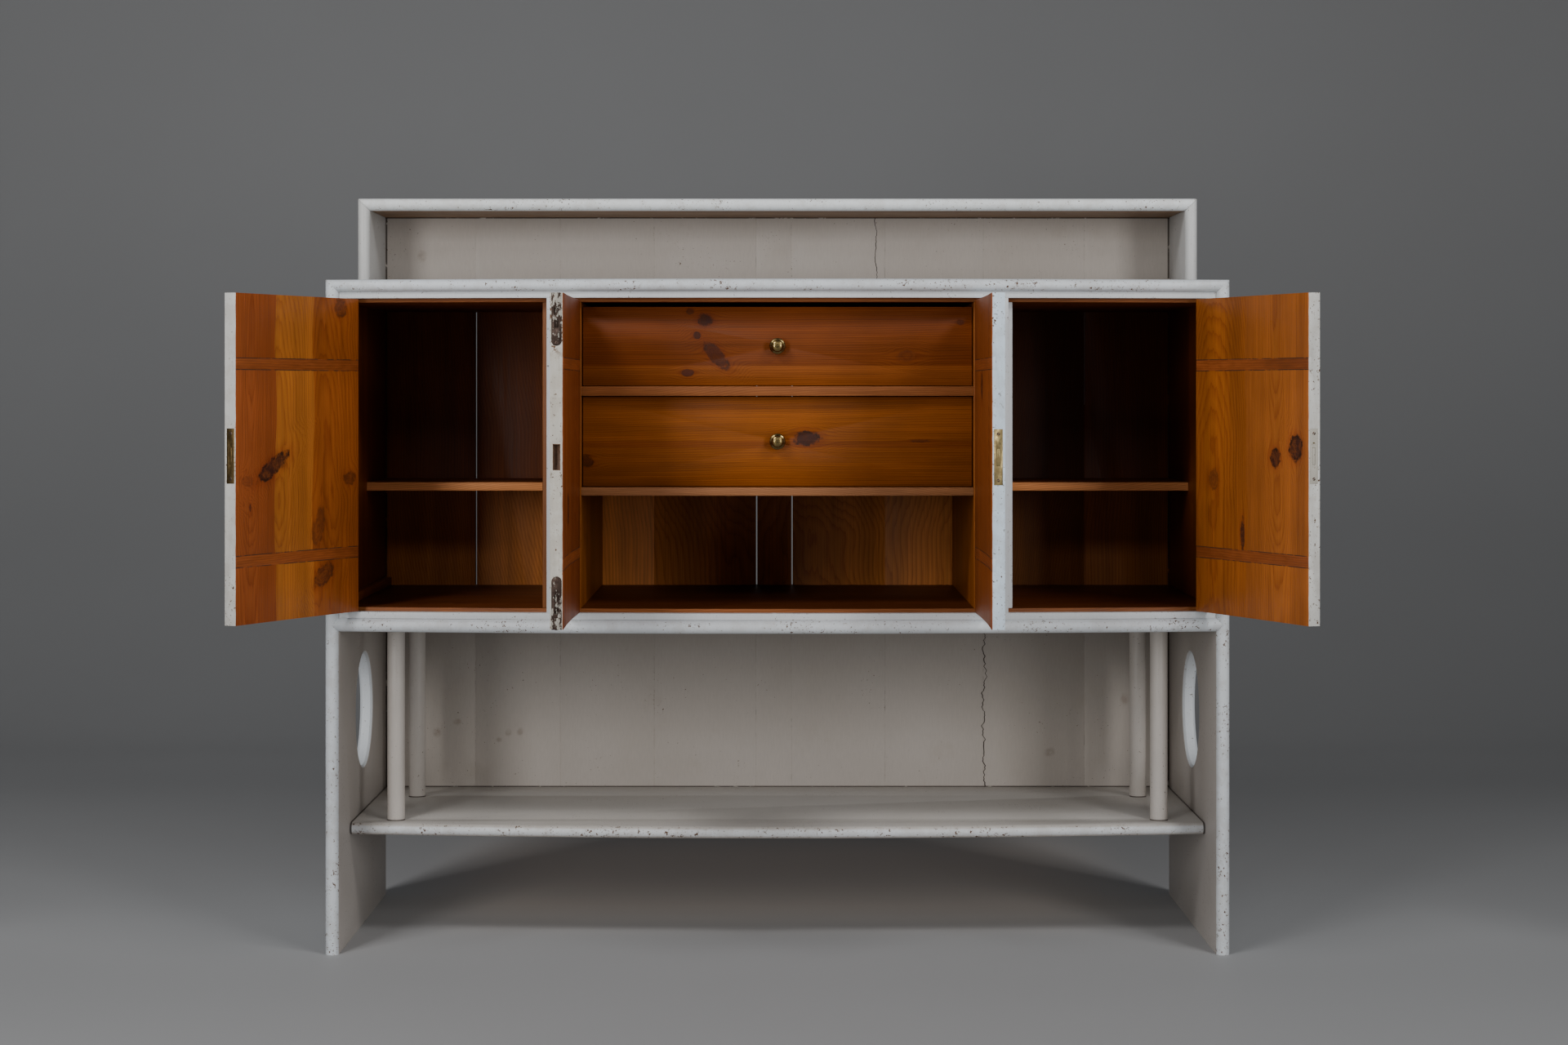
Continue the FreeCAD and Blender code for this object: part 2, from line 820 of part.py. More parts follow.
def flush_outline(upper):
    """The plate as one block, with the end away from the door's end rounded."""
    low, high = flush_levels(upper)
    round_off = flush_plate_width / 2
    middle = low + round_off if upper else high - round_off
    square = (middle, high) if upper else (low, middle)
    block = flush_block(flush_plate_width, 0, flush_plate_depth, *square)
    start = Vector(centre_free_edge, lock_middle(centre_free_edge), middle)
    return block.fuse(Part.makeCylinder(round_off, flush_plate_depth, start, Vector(1, 0, 0)))


def flush_rod_place():
    start = flush_face_thick + flush_rod_gap
    return centre_free_edge + start + flush_rod_depth / 2, lock_middle(centre_free_edge)


def flush_plate(upper):
    """The plate with its channel, open at the end of the door, and a thumb slot."""
    low, high = flush_levels(upper)
    block = flush_outline(upper)
    length = flush_rod_length + flush_rod_gap
    channel = (high - length, high + cut_overrun) if upper else (low - cut_overrun, low + length)
    width = flush_rod_width + 2 * flush_rod_gap
    depth = flush_face_thick + flush_rod_depth + 2 * flush_rod_gap
    block = block.cut(flush_block(width, flush_face_thick, depth, *channel))
    middle = flush_thumb_middle(upper)
    slot = (middle - flush_slot_height / 2, middle + flush_slot_height / 2)
    block = block.cut(flush_block(width, -cut_overrun, flush_face_thick + flush_rod_gap, *slot))
    return block.removeSplitter()


def flush_thumb_middle(upper):
    low, high = flush_levels(upper)
    return high - flush_thumb_place if upper else low + flush_thumb_place


def flush_bolt(upper):
    """The sliding rod with the piece that a finger pushes."""
    low, high = flush_levels(upper)
    start = flush_face_thick + flush_rod_gap
    ends = (high - flush_rod_length, high)
    if not upper:
        ends = (low - flush_bottom_show, low - flush_bottom_show + flush_rod_length)
    rod = flush_block(flush_rod_width, start, start + flush_rod_depth, *ends)
    middle = flush_thumb_middle(upper)
    span = (middle - flush_thumb_height / 2, middle + flush_thumb_height / 2)
    thumb = flush_block(flush_rod_width, flush_rod_gap, start, *span)
    return rod.fuse(thumb).removeSplitter()


# Drawers, named by the level that the drawer runs on and the height of its front
def drawer_tail(x, level, height):
    """A dovetail on the end of a drawer side, pointing into the front."""
    root = drawer_front_depth + drawer_front_thick
    tip = root - dovetail_length
    step = height / dovetail_count
    wide = step * (dovetail_pitch_shares[1] - dovetail_pitch_shares[0]) / 2
    narrow = wide * dovetail_root_share
    points = [
        (tip, level - wide),
        (tip, level + wide),
        (root, level + narrow),
        (root, level - narrow),
    ]
    return across(points, x, x + drawer_side_thick)


def drawer_pieces(runway, height):
    """The front, sides, back and bottom of one drawer."""
    half = partition_inner - drawer_side_gap
    front_face = drawer_front_depth
    front_rear = front_face + drawer_front_thick
    low = runway + drawer_front_lift
    high = low + height
    side_low = runway + drawer_run_gap
    side_high = high - drawer_side_drop
    inside = half - drawer_side_thick
    front = box(-half, half, front_face, front_rear, low, high)
    side = box(inside, half, front_rear, drawer_rear_depth, side_low, side_high)
    step = (side_high - low) / dovetail_count
    for number in range(dovetail_count):
        level = low + step * (number + 1 / 2)
        tail = drawer_tail(inside, level, side_high - low)
        side = side.fuse(tail)
        front = front.cut(tail).cut(mirrored(tail))
    side = side.removeSplitter()
    bottom_low = side_low + drawer_bottom_lift
    bottom_high = bottom_low + drawer_bottom_thick
    reach = inside + drawer_groove
    start = front_rear - drawer_groove
    bottom = box(-reach, reach, start, drawer_rear_depth, bottom_low, bottom_high)
    rear_front = drawer_rear_depth - drawer_back_thick
    back = box(-inside, inside, rear_front, drawer_rear_depth, bottom_high, side_high)
    front = front.cut(bottom).cut(knob_shank(low + height / 2))
    sides = Part.makeCompound([side.cut(bottom), mirrored(side).cut(bottom)])
    return {"front": front, "sides": sides, "back": back, "bottom": bottom}


def turned(rings, level):
    """A turned piece from (radius, length) rings, with flat sides to stay light."""
    loops = []
    for radius, out in rings:
        loop = []
        for number in range(knob_sides):
            turn = 2 * math.pi * number / knob_sides
            x = radius * math.cos(turn)
            loop.append(Vector(x, drawer_front_depth - out, level + radius * math.sin(turn)))
        loops.append(loop)
    faces = [polygon_face(loops[0]), polygon_face(loops[-1])]
    for near, far in zip(loops, loops[1:]):
        for a in range(knob_sides):
            b = (a + 1) % knob_sides
            faces.append(polygon_face([near[a], near[b], far[b], far[a]]))
    return Part.Solid(Part.Shell(faces))


def knob(level):
    """A turned knob: foot, neck and a ball that is flattened along its axis."""
    ball_start = knob_foot_thick + knob_neck_length
    start = math.asin(knob_neck_radius / knob_radius)
    rings = [(knob_foot_radius, 0), (knob_foot_radius, knob_foot_thick)]
    rings.append((knob_neck_radius, knob_foot_thick))
    for step in range(knob_bands + 1):
        turn = start + (math.pi - 2 * start) * step / knob_bands
        share = (1 - math.cos(turn) / math.cos(start)) / 2
        out = ball_start + share * (knob_length - ball_start)
        rings.append((knob_radius * math.sin(turn), out))
    ball = turned(rings, level)
    return ball.fuse(knob_shank(level)).removeSplitter()


def knob_shank(level):
    """The shank that holds the knob in the drawer front."""
    shank = small_round(knob_shank_radius, 0, 0, 0, knob_shank_length)
    shank.rotate(Vector(0, 0, 0), Vector(1, 0, 0), -90)
    shank.translate(Vector(0, drawer_front_depth, level))
    return shank


# Placing and writing
def opened(shape, pin_x, pin_y, angle):
    """A piece of a right-hand door, swung open about its hinge pins."""
    piece = shape.copy()
    piece.rotate(Vector(pin_x, pin_y, 0), UP, angle)
    return piece


def save_door(name, panel, battens, pin, angle, left, extras):
    """Write the pieces that swing with one door, mirrored if it is a left one."""
    pieces = {
        "door_" + name: panel,
        "battens_" + name: battens,
        "hinge_leaves_" + name: Part.makeCompound(hinge_leaves(*pin, -1)),
    }
    pieces.update(extras)
    for node, shape in pieces.items():
        shape = opened(shape, *pin, angle)
        save(node, mirrored(shape) if left else shape)


def save_doors():
    outer_pin = (outer_pin_x, outer_pin_y)
    centre_pin = (centre_pin_x, centre_pin_y)
    panel, battens = outer_door()
    for name, angle in (("outer_left", outer_left_angle), ("outer_right", outer_right_angle)):
        extras = {
            "lock_" + name: lock_case(outer_free_edge),
            "lock_bolt_" + name: lock_bolt(outer_free_edge),
        }
        save_door(name, panel, battens, outer_pin, angle, name == "outer_left", extras)
    panel, battens = centre_right_door()
    extras = {
        "lock_centre_right": lock_case(centre_free_edge),
        "lock_bolt_centre_right": lock_bolt(centre_free_edge),
    }
    save_door("centre_right", panel, battens, centre_pin, centre_angle, False, extras)
    panel, battens = centre_left_door()
    extras = {
        "flush_bolt_plates": Part.makeCompound([flush_plate(True), flush_plate(False)]),
        "flush_bolt_top": flush_bolt(True),
        "flush_bolt_bottom": flush_bolt(False),
    }
    save_door("centre_left", panel, battens, centre_pin, centre_angle, True, extras)


def save_drawers():
    levels = {
        "upper": (drawer_rail_top, upper_drawer_height),
        "lower": (drawer_shelf_top, lower_drawer_height),
    }
    for name, (runway, height) in levels.items():
        for piece, shape in drawer_pieces(runway, height).items():
            save("drawer_" + name + "_" + piece, shape)
        save("drawer_" + name + "_knob", knob(runway + drawer_front_lift + height / 2))


def save_pair(name, shape):
    """Write a right-hand piece and its mirror image on the left."""
    save(name + "_right", shape)
    save(name + "_left", mirrored(shape))


def save_case():
    save_pair("side_panel", side_panel())
    save("top_board", top_board())
    save("bottom_board", bottom_board())
    save("lower_shelf", lower_shelf())
    save("turned_posts", Part.makeCompound(turned_posts()))
    save_pair("gallery_side", gallery_side())
    save("gallery_top", gallery_top())
    save("back_boards", back_boards())
    save("top_lip", top_lip())
    save("bottom_lip", bottom_lip())
    save_pair("stile", stile())
    save_pair("face_post", face_post())
    save("door_stops", Part.makeCompound([door_stop(), mirrored(door_stop())]))
    reach, rear = inner_half, back_face
    save("inner_top", bowed_board(-reach, reach, stop_radius, rear, ceiling, top_board_bottom))
    save("floor_board", bowed_board(-reach, reach, stop_radius, rear, bottom_board_top, floor_top))
    save_pair("partition", partition())
    save_pair("side_shelf", side_shelf())
    save("drawer_shelf", drawer_shelf())
    save("drawer_rail", drawer_rail())
    save("drawer_runners", Part.makeCompound([drawer_runner(), mirrored(drawer_runner())]))
    save("floor_batten", floor_batten())
    save("hinge_frame_leaves", hinge_frame_leaves())


def main():
    os.makedirs("parts", exist_ok=True)
    save_case()
    save_doors()
    save_drawers()


main()
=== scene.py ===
"""Looks of the bow-fronted pine sideboard: worn white paint, old waxed pine, brass and iron.

Every piece is in metres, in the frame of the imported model. X runs to the right, Y to the
back and Z up. Doors are finished in the place that they have when shut: a Mapping node
turns each one back about its hinge pins, so that boards, knots and paint line up with it.
"""
import json
import math

import bpy
from mathutils import Euler, Matrix, Vector

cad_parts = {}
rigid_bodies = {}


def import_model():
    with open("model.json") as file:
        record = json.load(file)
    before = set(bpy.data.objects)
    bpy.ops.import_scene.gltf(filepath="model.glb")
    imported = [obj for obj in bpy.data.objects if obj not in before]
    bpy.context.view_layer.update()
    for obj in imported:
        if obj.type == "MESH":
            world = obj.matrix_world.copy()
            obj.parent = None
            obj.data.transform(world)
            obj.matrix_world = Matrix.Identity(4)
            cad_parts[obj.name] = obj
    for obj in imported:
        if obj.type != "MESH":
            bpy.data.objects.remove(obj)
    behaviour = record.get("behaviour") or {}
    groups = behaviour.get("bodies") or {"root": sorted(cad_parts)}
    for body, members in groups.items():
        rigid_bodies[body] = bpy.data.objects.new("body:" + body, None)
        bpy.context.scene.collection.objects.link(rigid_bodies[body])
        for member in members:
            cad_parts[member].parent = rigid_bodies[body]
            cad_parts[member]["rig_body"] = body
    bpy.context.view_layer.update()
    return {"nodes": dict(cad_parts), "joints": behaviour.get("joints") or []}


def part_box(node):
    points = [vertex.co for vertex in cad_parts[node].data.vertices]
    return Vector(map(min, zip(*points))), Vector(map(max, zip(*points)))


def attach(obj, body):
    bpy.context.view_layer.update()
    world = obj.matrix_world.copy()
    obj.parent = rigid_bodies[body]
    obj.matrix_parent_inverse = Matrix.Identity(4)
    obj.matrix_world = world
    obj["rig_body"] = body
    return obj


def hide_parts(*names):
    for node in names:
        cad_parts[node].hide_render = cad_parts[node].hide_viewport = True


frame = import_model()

bl_info = {
    "name": "Bow-fronted sideboard",
    "version": (1, 0, 0),
    "blender": (4, 5, 0),
    "location": "View3D > Sidebar > Sideboard",
    "description": "Finishes the pieces of a bow-fronted pine sideboard",
    "category": "Object",
}

MM = 0.001
# Room between a face and the limit of a mask that takes it in
SLACK = 0.5 * MM

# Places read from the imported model
SIDE_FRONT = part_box("side_panel_right")[0].y
INNER_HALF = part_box("side_panel_right")[0].x
NOSE_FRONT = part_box("top_board")[0].y
NOSE_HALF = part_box("bottom_board")[1].x
BACK_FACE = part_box("back_boards")[0].y
BACK_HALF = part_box("back_boards")[1].x
CASE_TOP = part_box("top_board")[1].z
TOP_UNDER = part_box("top_board")[0].z
BOTTOM_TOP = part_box("bottom_board")[1].z
BOTTOM_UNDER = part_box("bottom_board")[0].z
LOW_SHELF_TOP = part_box("lower_shelf")[1].z
LOW_SHELF_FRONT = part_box("lower_shelf")[0].y
GALLERY_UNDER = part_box("gallery_top")[0].z
GALLERY_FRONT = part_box("gallery_top")[0].y
BOW = SIDE_FRONT - NOSE_FRONT
NOSE_RADIUS = (NOSE_HALF**2 + BOW**2) / (2 * BOW)
BOW_CENTRE = SIDE_FRONT + NOSE_RADIUS - BOW
FACE_RADIUS = NOSE_RADIUS - (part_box("top_lip")[0].y - NOSE_FRONT)
DOOR_THICK = 19 * MM
DOOR_INNER_RADIUS = FACE_RADIUS - DOOR_THICK
LOCK_HEIGHT = sum(corner.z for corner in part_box("lock_outer_left")) / 2
OUTER_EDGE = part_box("face_post_right")[1].x + 1.2 * MM
CENTRE_EDGE = 0.8 * MM
JOINTS = {joint["name"]: joint for joint in frame["joints"]}
DOORS = ("outer_left", "outer_right", "centre_left", "centre_right")


def side_of(door):
    """-1 for the left-hand doors and 1 for the right-hand ones."""
    return -1 if door.endswith("left") else 1


def hinge_of(door):
    """The pin of a door and the angle that it stands open at rest, about +Z."""
    joint = JOINTS[door + "_door_hinge"]
    return Vector(joint["pos_m"]), side_of(door) * math.radians(-joint["range_deg"][0])


def colour_setting(name, description, default):
    return bpy.props.FloatVectorProperty(name=name, description=description, default=default,
                                         size=3, subtype="COLOR")


def length_setting(name, description, default):
    return bpy.props.FloatProperty(name=name, description=description, default=default,
                                   unit="LENGTH")


class Finishes(bpy.types.PropertyGroup):
    """Colours that a user would change."""

    paint: colour_setting("Paint", "White paint, away from wear", (0.67, 0.69, 0.71))
    paint_aged: colour_setting(
        "Aged paint", "Paint in the gallery and the open bay", (0.58, 0.525, 0.475))
    pine_light: colour_setting(
        "Pine, light rings", "Waxed pine between the dark rings", (0.66, 0.195, 0.020))
    pine_dark: colour_setting(
        "Pine, dark rings", "Waxed pine in the dark rings", (0.36, 0.075, 0.007))
    knot: colour_setting("Knots", "The dark core of a knot", (0.085, 0.018, 0.012))
    brass: colour_setting("Brass", "Old brass of knobs and lock plates", (0.46, 0.33, 0.13))
    iron: colour_setting("Iron", "Dark iron of hinges and flush bolts", (0.075, 0.052, 0.042))
    floor: colour_setting("Floor", "Pale floor and backdrop", (0.42, 0.42, 0.425))


class Edges(bpy.types.PropertyGroup):
    """Sizes that a user would change."""

    board_round: length_setting("Board arris", "Rounding of the arrises of boards", 1.3 * MM)
    inner_round: length_setting(
        "Inner arris", "Rounding of the arrises inside the case", 0.9 * MM)
    metal_round: length_setting(
        "Metal arris", "Rounding of the edges of metal pieces", 0.25 * MM)


def finishes():
    return bpy.context.scene.sideboard_finishes


def edges():
    return bpy.context.scene.sideboard_edges


# Node trees
class Tree:
    """Adds and joins the nodes of one material or group."""

    def __init__(self, tree):
        self.tree = tree

    def add(self, kind, inputs=None, **settings):
        node = self.tree.nodes.new(kind)
        for name, value in settings.items():
            setattr(node, name, value)
        self.feed(node, inputs or {})
        return node

    def feed(self, node, inputs):
        """Joins or sets the inputs of a node, which are given by name or number."""
        for name, value in inputs.items():
            if isinstance(value, bpy.types.NodeSocket):
                self.tree.links.new(value, node.inputs[name])
            elif value is not None:
                node.inputs[name].default_value = value

    def math(self, operation, a, b=None):
        return self.add("ShaderNodeMath", {0: a, 1: b}, operation=operation).outputs[0]

    def times(self, a, b):
        return self.math("MULTIPLY", a, b)

    def plus(self, a, b):
        return self.math("ADD", a, b)

    def minus(self, a, b):
        return self.math("SUBTRACT", a, b)

    def most(self, a, b):
        return self.math("MAXIMUM", a, b)

    def size(self, a):
        return self.math("ABSOLUTE", a)

    def below(self, a, limit):
        return self.math("LESS_THAN", a, limit)

    def above(self, a, limit):
        return self.math("GREATER_THAN", a, limit)

    def vector(self, operation, a, b=None):
        second = "Scale" if operation == "SCALE" else 1
        node = self.add("ShaderNodeVectorMath", {0: a, second: b}, operation=operation)
        return node.outputs["Value" if operation in ("LENGTH", "DOT_PRODUCT") else "Vector"]

    def stretch(self, vector, x, y, z):
        return self.vector("MULTIPLY", vector, (x, y, z))

    def split(self, vector):
        return tuple(self.add("ShaderNodeSeparateXYZ", {0: vector}).outputs)

    def along(self, vector, axis):
        """How far a place is along the axis X, Y or Z."""
        return self.split(vector)["XYZ".index(axis)]

    def join(self, x, y, z):
        return self.add("ShaderNodeCombineXYZ", {0: x, 1: y, 2: z}).outputs[0]

    def noise(self, vector, scale, detail=2.0, rough=0.5, output="Fac"):
        inputs = {"Vector": vector, "Scale": scale, "Detail": detail, "Roughness": rough}
        return self.add("ShaderNodeTexNoise", inputs).outputs[output]

    def sway(self, vector, scale, detail, rough, reach):
        """A vector that wanders by about half of reach to either side."""
        wobble = self.noise(vector, scale, detail, rough, "Color")
        return self.vector("SCALE", self.vector("SUBTRACT", wobble, (0.5, 0.5, 0.5)), reach)

    def fade(self, value, start, end, low=0.0, high=1.0):
        """Goes smoothly from low to high as the value goes from start to end."""
        inputs = {"Value": value, "From Min": start, "From Max": end,
                  "To Min": low, "To Max": high}
        node = self.add("ShaderNodeMapRange", inputs, interpolation_type="SMOOTHSTEP")
        return node.outputs["Result"]

    def cloud(self, vector, noise, start, end, low=0.0, high=1.0):
        """Patches where a noise (scale, detail, roughness) passes from start to end."""
        return self.fade(self.noise(vector, *noise), start, end, low, high)

    def mix(self, factor, a, b, blend="MIX"):
        inputs = {"Factor": factor, "A": colour4(a), "B": colour4(b)}
        node = self.add("ShaderNodeMix", inputs, data_type="RGBA", blend_type=blend)
        return node.outputs["Result"]

    def tint(self, colour, tint):
        return self.mix(1.0, colour, tint, "MULTIPLY")

    def shade(self, colour, level):
        return self.tint(colour, self.join(level, level, level))

    def blend(self, factor, a, b):
        """Mixes two numbers."""
        node = self.add("ShaderNodeMix", {"Factor": factor, "A": a, "B": b}, data_type="FLOAT")
        return node.outputs["Result"]

    def near(self, value, target, far, close):
        """1 where the value is within close of the target, 0 beyond far."""
        return self.fade(self.size(self.minus(value, target)), far, close)

    def both(self, *masks):
        """1 where all of the masks are."""
        result = masks[0]
        for mask in masks[1:]:
            result = self.times(result, mask)
        return result

    def between(self, value, low, high):
        return self.both(self.above(value, low), self.below(value, high))

    def by_board(self, across, starts, values):
        """The value of the board at this place, where boards lie side by side."""
        result = values[0]
        for start, value in zip(starts, values[1:]):
            mixed = self.mix if isinstance(value, tuple) else self.blend
            result = mixed(self.above(across, start), result, value)
        return result

    def ramp(self, value, stops):
        """A grey level for the value, from stops of (value, level) in order."""
        node = self.add("ShaderNodeValToRGB", {"Fac": value})
        line = node.color_ramp.elements
        for place, level in stops[1:-1]:
            line.new(place)
        for element, (place, level) in zip(line, stops):
            element.position = place
            element.color = (level, level, level, 1)
        return node.outputs["Color"]


def colour4(value):
    """A socket as it is, or a colour of three numbers with the fourth that sockets take."""
    return value if isinstance(value, bpy.types.NodeSocket) else (*value, 1.0)


def scaled(colour, *factors):
    """A colour with each channel multiplied by its factor, or all by one."""
    factors = factors * 3 if len(factors) == 1 else factors
    return tuple(c * f for c, f in zip(colour, factors))


def new_material(name):
    """A material and its Tree, with a Principled shader joined to the output."""
    material = bpy.data.materials.new(name)
    material.use_nodes = True
    material.node_tree.nodes.clear()
    tree = Tree(material.node_tree)
    shader = tree.add("ShaderNodeBsdfPrincipled")
    tree.add("ShaderNodeOutputMaterial", {"Surface": shader.outputs[0]})
    return material, tree, shader


def finish_surface(tree, shader, colour, rough, height, depth):
    """Joins colour, roughness and a bump of this depth in metres to the shader."""
    bump = tree.add("ShaderNodeBump", {"Strength": 1.0, "Distance": depth, "Height": height})
    tree.feed(shader, {"Base Color": colour, "Roughness": rough, "Normal": bump.outputs[0]})


def shut_place(tree, door=None):
    """Object coordinates, turned back to where the door is when it is shut."""
    coords = tree.add("ShaderNodeTexCoord").outputs["Object"]
    if door is None:
        return coords
    pin, angle = hinge_of(door)
    shift = pin - Matrix.Rotation(-angle, 3, "Z") @ pin
    turn = {"Vector": coords, "Rotation": (0, 0, -angle), "Location": shift}
    return tree.add("ShaderNodeMapping", turn).outputs[0]


def bow_distance(tree, place):
    """Distance of a place from the upright line that all the bows turn about."""
    x, y = tree.split(place)[:2]
    return tree.vector("LENGTH", tree.join(x, tree.minus(y, BOW_CENTRE), 0.0))


# Wood
RINGS_PER_METRE = 290.0
# The darkness of the wood from one ring to the next
RING_LEVELS = ((0.0, 0.30), (0.35, 0.10), (0.78, 0.62), (0.92, 1.0), (1.0, 0.22))


def oval_group():
    """How far a place is from the middle of a slanting oval, in its half-widths."""
    group = bpy.data.node_groups.get("oval")
    if group:
        return group
    group = bpy.data.node_groups.new("oval", "ShaderNodeTree")
    for name in ("Place", "Centre", "Reach"):
        group.interface.new_socket(name, in_out="INPUT", socket_type="NodeSocketVector")
    group.interface.new_socket("Turn", in_out="INPUT", socket_type="NodeSocketFloat")
    group.interface.new_socket("Distance", in_out="OUTPUT", socket_type="NodeSocketFloat")
    tree = Tree(group)
    inner = tree.add("NodeGroupInput").outputs
    offset = tree.vector("SUBTRACT", inner["Place"], inner["Centre"])
    turned = tree.add("ShaderNodeVectorRotate", {"Vector": offset, "Angle": inner["Turn"]},
                      rotation_type="Z_AXIS").outputs[0]
    shares = tree.vector("DIVIDE", turned, inner["Reach"])
    wobble = tree.sway(inner["Place"], 48.0, 4.0, 0.65, 1.3)
    x, y = tree.split(tree.vector("ADD", shares, wobble))[:2]
    tree.add("NodeGroupOutput", {"Distance": tree.vector("LENGTH", tree.join(x, y, 0.0))})
    return group


def oval(tree, flat, x, y, wide, tall, turn):
    inputs = {"Place": flat, "Centre": (x, y, 0.0), "Reach": (wide, tall, 1.0),
              "Turn": -math.radians(turn)}
    return tree.add("ShaderNodeGroup", inputs, node_tree=oval_group()).outputs[0]


def grain(tree, place, axes, boards, knots, seed, hearts, wave):
    """Ring, streak and knot patterns of boards that lie side by side.

    axes names the across, along and depth axes of the wood, and boards lists where each
    board after the first begins. knots are (across, along, half width, half length, turn,
    darkness), and hearts are the across and depth of the middle of each board's rings.
    """
    parts = tree.split(place)
    across, along, depth = (parts["XYZ".index(axis)] for axis in axes)
    if wave:
        bend = tree.noise(tree.join(0.0, tree.times(along, 5.0), seed), 1.0)
        edge = tree.plus(across, tree.fade(bend, 0.2, 0.8, -wave, wave))
    else:
        edge = across
    board = 0.0
    for start in boards:
        board = tree.plus(tree.above(edge, start), board)
    pick = tree.add("ShaderNodeTexWhiteNoise", {"W": tree.plus(board, seed)},
                    noise_dimensions="1D")
    chance = tree.split(pick.outputs["Color"])
    wood = tree.join(across, along, depth)
    flat = tree.join(across, along, 0.0)
    core = rim = halo = own = 0.0
    bent = across
    for x, y, wide, tall, turn, dark in knots:
        distance = oval(tree, flat, x, y, wide, tall, turn)
        pull = tree.fade(distance, 0.5, 4.2, 0.80, 0.0)
        bent = tree.minus(bent, tree.times(tree.minus(across, x), pull))
        inside = tree.fade(distance, 1.15, 0.80)
        own = tree.blend(inside, own, distance)
        core = tree.most(core, tree.times(inside, dark))
        ring = tree.near(distance, 1.05, 0.30, 0.04)
        rim = tree.most(rim, tree.times(ring, dark))
        halo = tree.most(halo, tree.fade(distance, 2.3, 0.9, 0.0, dark))
    shift = tree.join(tree.times(chance[0], 3.7), tree.times(chance[1], 5.1), seed)
    moved = tree.vector("ADD", wood, shift)
    sway = tree.split(tree.sway(tree.stretch(moved, 1.0, 0.16, 1.0), 9.0, 2.0, 0.5, 0.03))
    if hearts:
        heart = tree.by_board(edge, boards, [h[0] for h in hearts])
        sunk = tree.by_board(edge, boards, [h[1] for h in hearts])
    else:
        heart = tree.fade(chance[0], 0.0, 1.0, -0.09, 0.09)
        sunk = tree.fade(chance[2], 0.0, 1.0, -0.10, -0.03)
    swell = tree.noise(tree.join(0.0, tree.times(along, 3.0), chance[1]), 1.0)
    taper = tree.times(along, tree.fade(chance[1], 0.0, 1.0, -0.16, 0.16))
    sunk = tree.plus(tree.minus(depth, sunk), taper)
    sunk = tree.plus(sunk, tree.fade(swell, 0.2, 0.8, -0.012, 0.012))
    off = tree.minus(tree.plus(bent, sway[0]), heart)
    ring = tree.vector("LENGTH", tree.join(off, 0.0, tree.plus(sunk, sway[2])))
    ring = tree.times(ring, RINGS_PER_METRE)
    fuzz = tree.noise(tree.stretch(moved, 170.0, 8.0, 170.0), 1.0)
    ring = tree.plus(ring, tree.times(fuzz, 0.7))
    ring = tree.blend(core, ring, tree.times(own, 4.5))
    late = tree.ramp(tree.math("FRACT", ring), RING_LEVELS)
    streak = tree.noise(tree.stretch(moved, 430.0, 6.0, 430.0), 1.0, 3.0, 0.6)
    broad = tree.noise(tree.stretch(moved, 24.0, 1.3, 24.0), 1.0)
    patch = tree.noise(moved, 9.0, 3.0, 0.6)
    return {"late": late, "streak": streak, "broad": broad, "core": core, "rim": rim,
            "halo": halo, "chance": chance, "edge": edge, "patch": patch}


def wood_look(tree, place, axes, boards=(), knots=(), seed=0.0, tone=1.0, hearts=None,
              tones=None, wave=0.0, ruddy=1.0):
    """Colour, roughness and height of waxed pine with its grain along the second axis."""
    figure = grain(tree, place, axes, boards, knots, seed, hearts, wave)
    light, dark = tuple(finishes().pine_light), tuple(finishes().pine_dark)
    colour = tree.mix(tree.times(figure["late"], 0.62), light, dark)
    level = tree.fade(figure["broad"], 0.25, 0.75, 0.78, 1.132)
    level = tree.times(level, tree.fade(figure["streak"], 0.25, 0.75, 0.84, 1.13))
    level = tree.times(level, tree.fade(figure["patch"], 0.25, 0.75, 0.90, 1.06))
    if tones:
        colour = tree.tint(colour, tree.by_board(figure["edge"], boards, tones))
    else:
        level = tree.times(level, tree.fade(figure["chance"][2], 0.0, 1.0, 0.86, 1.10))
    colour = tree.shade(colour, tree.times(level, tone))
    colour = tree.mix(tree.times(figure["halo"], 0.45), colour,
                      tree.tint(colour, (0.72, 0.42, 0.40)))
    heart = tuple(finishes().knot)
    cloud = tree.cloud(place, (75.0, 4.0, 0.7), 0.38, 0.60)
    knot = tree.mix(cloud, scaled(scaled(heart, 2.0, 2.6, 1.0), ruddy),
                    scaled(heart, 0.42, 0.62, 0.7))
    knot = tree.mix(tree.times(figure["late"], 0.6), knot, scaled(heart, 0.3, 0.5, 0.4))
    colour = tree.mix(tree.times(figure["core"], 0.92), colour, knot)
    torn = tree.cloud(place, (95.0, 4.0, 0.7), 0.40, 0.58, 0.1, 0.95)
    colour = tree.mix(tree.both(figure["rim"], torn), colour, scaled(heart, 0.28, 0.5, 0.4))
    rough = tree.fade(figure["streak"], 0.2, 0.8, 0.38, 0.56)
    height = tree.plus(tree.times(figure["late"], 0.4), figure["streak"])
    return colour, rough, height


# Marks that lie on a finish: each turns the colour at a place into another
DIRT = (0.040, 0.026, 0.018)


def seam(axis, where, half, sides=False, broken=0.36, strength=0.88):
    """A dark joint line across one axis, broken here and there."""

    def mark(tree, place, colour):
        value = tree.along(place, axis)
        value = tree.size(value) if sides else value
        line = tree.near(value, where, half * 1.5, half * 0.6)
        worn = tree.cloud(place, (42.0, 3.0, 0.7), broken - 0.04, broken + 0.06)
        return tree.mix(tree.both(line, worn, strength), colour, DIRT)

    return mark


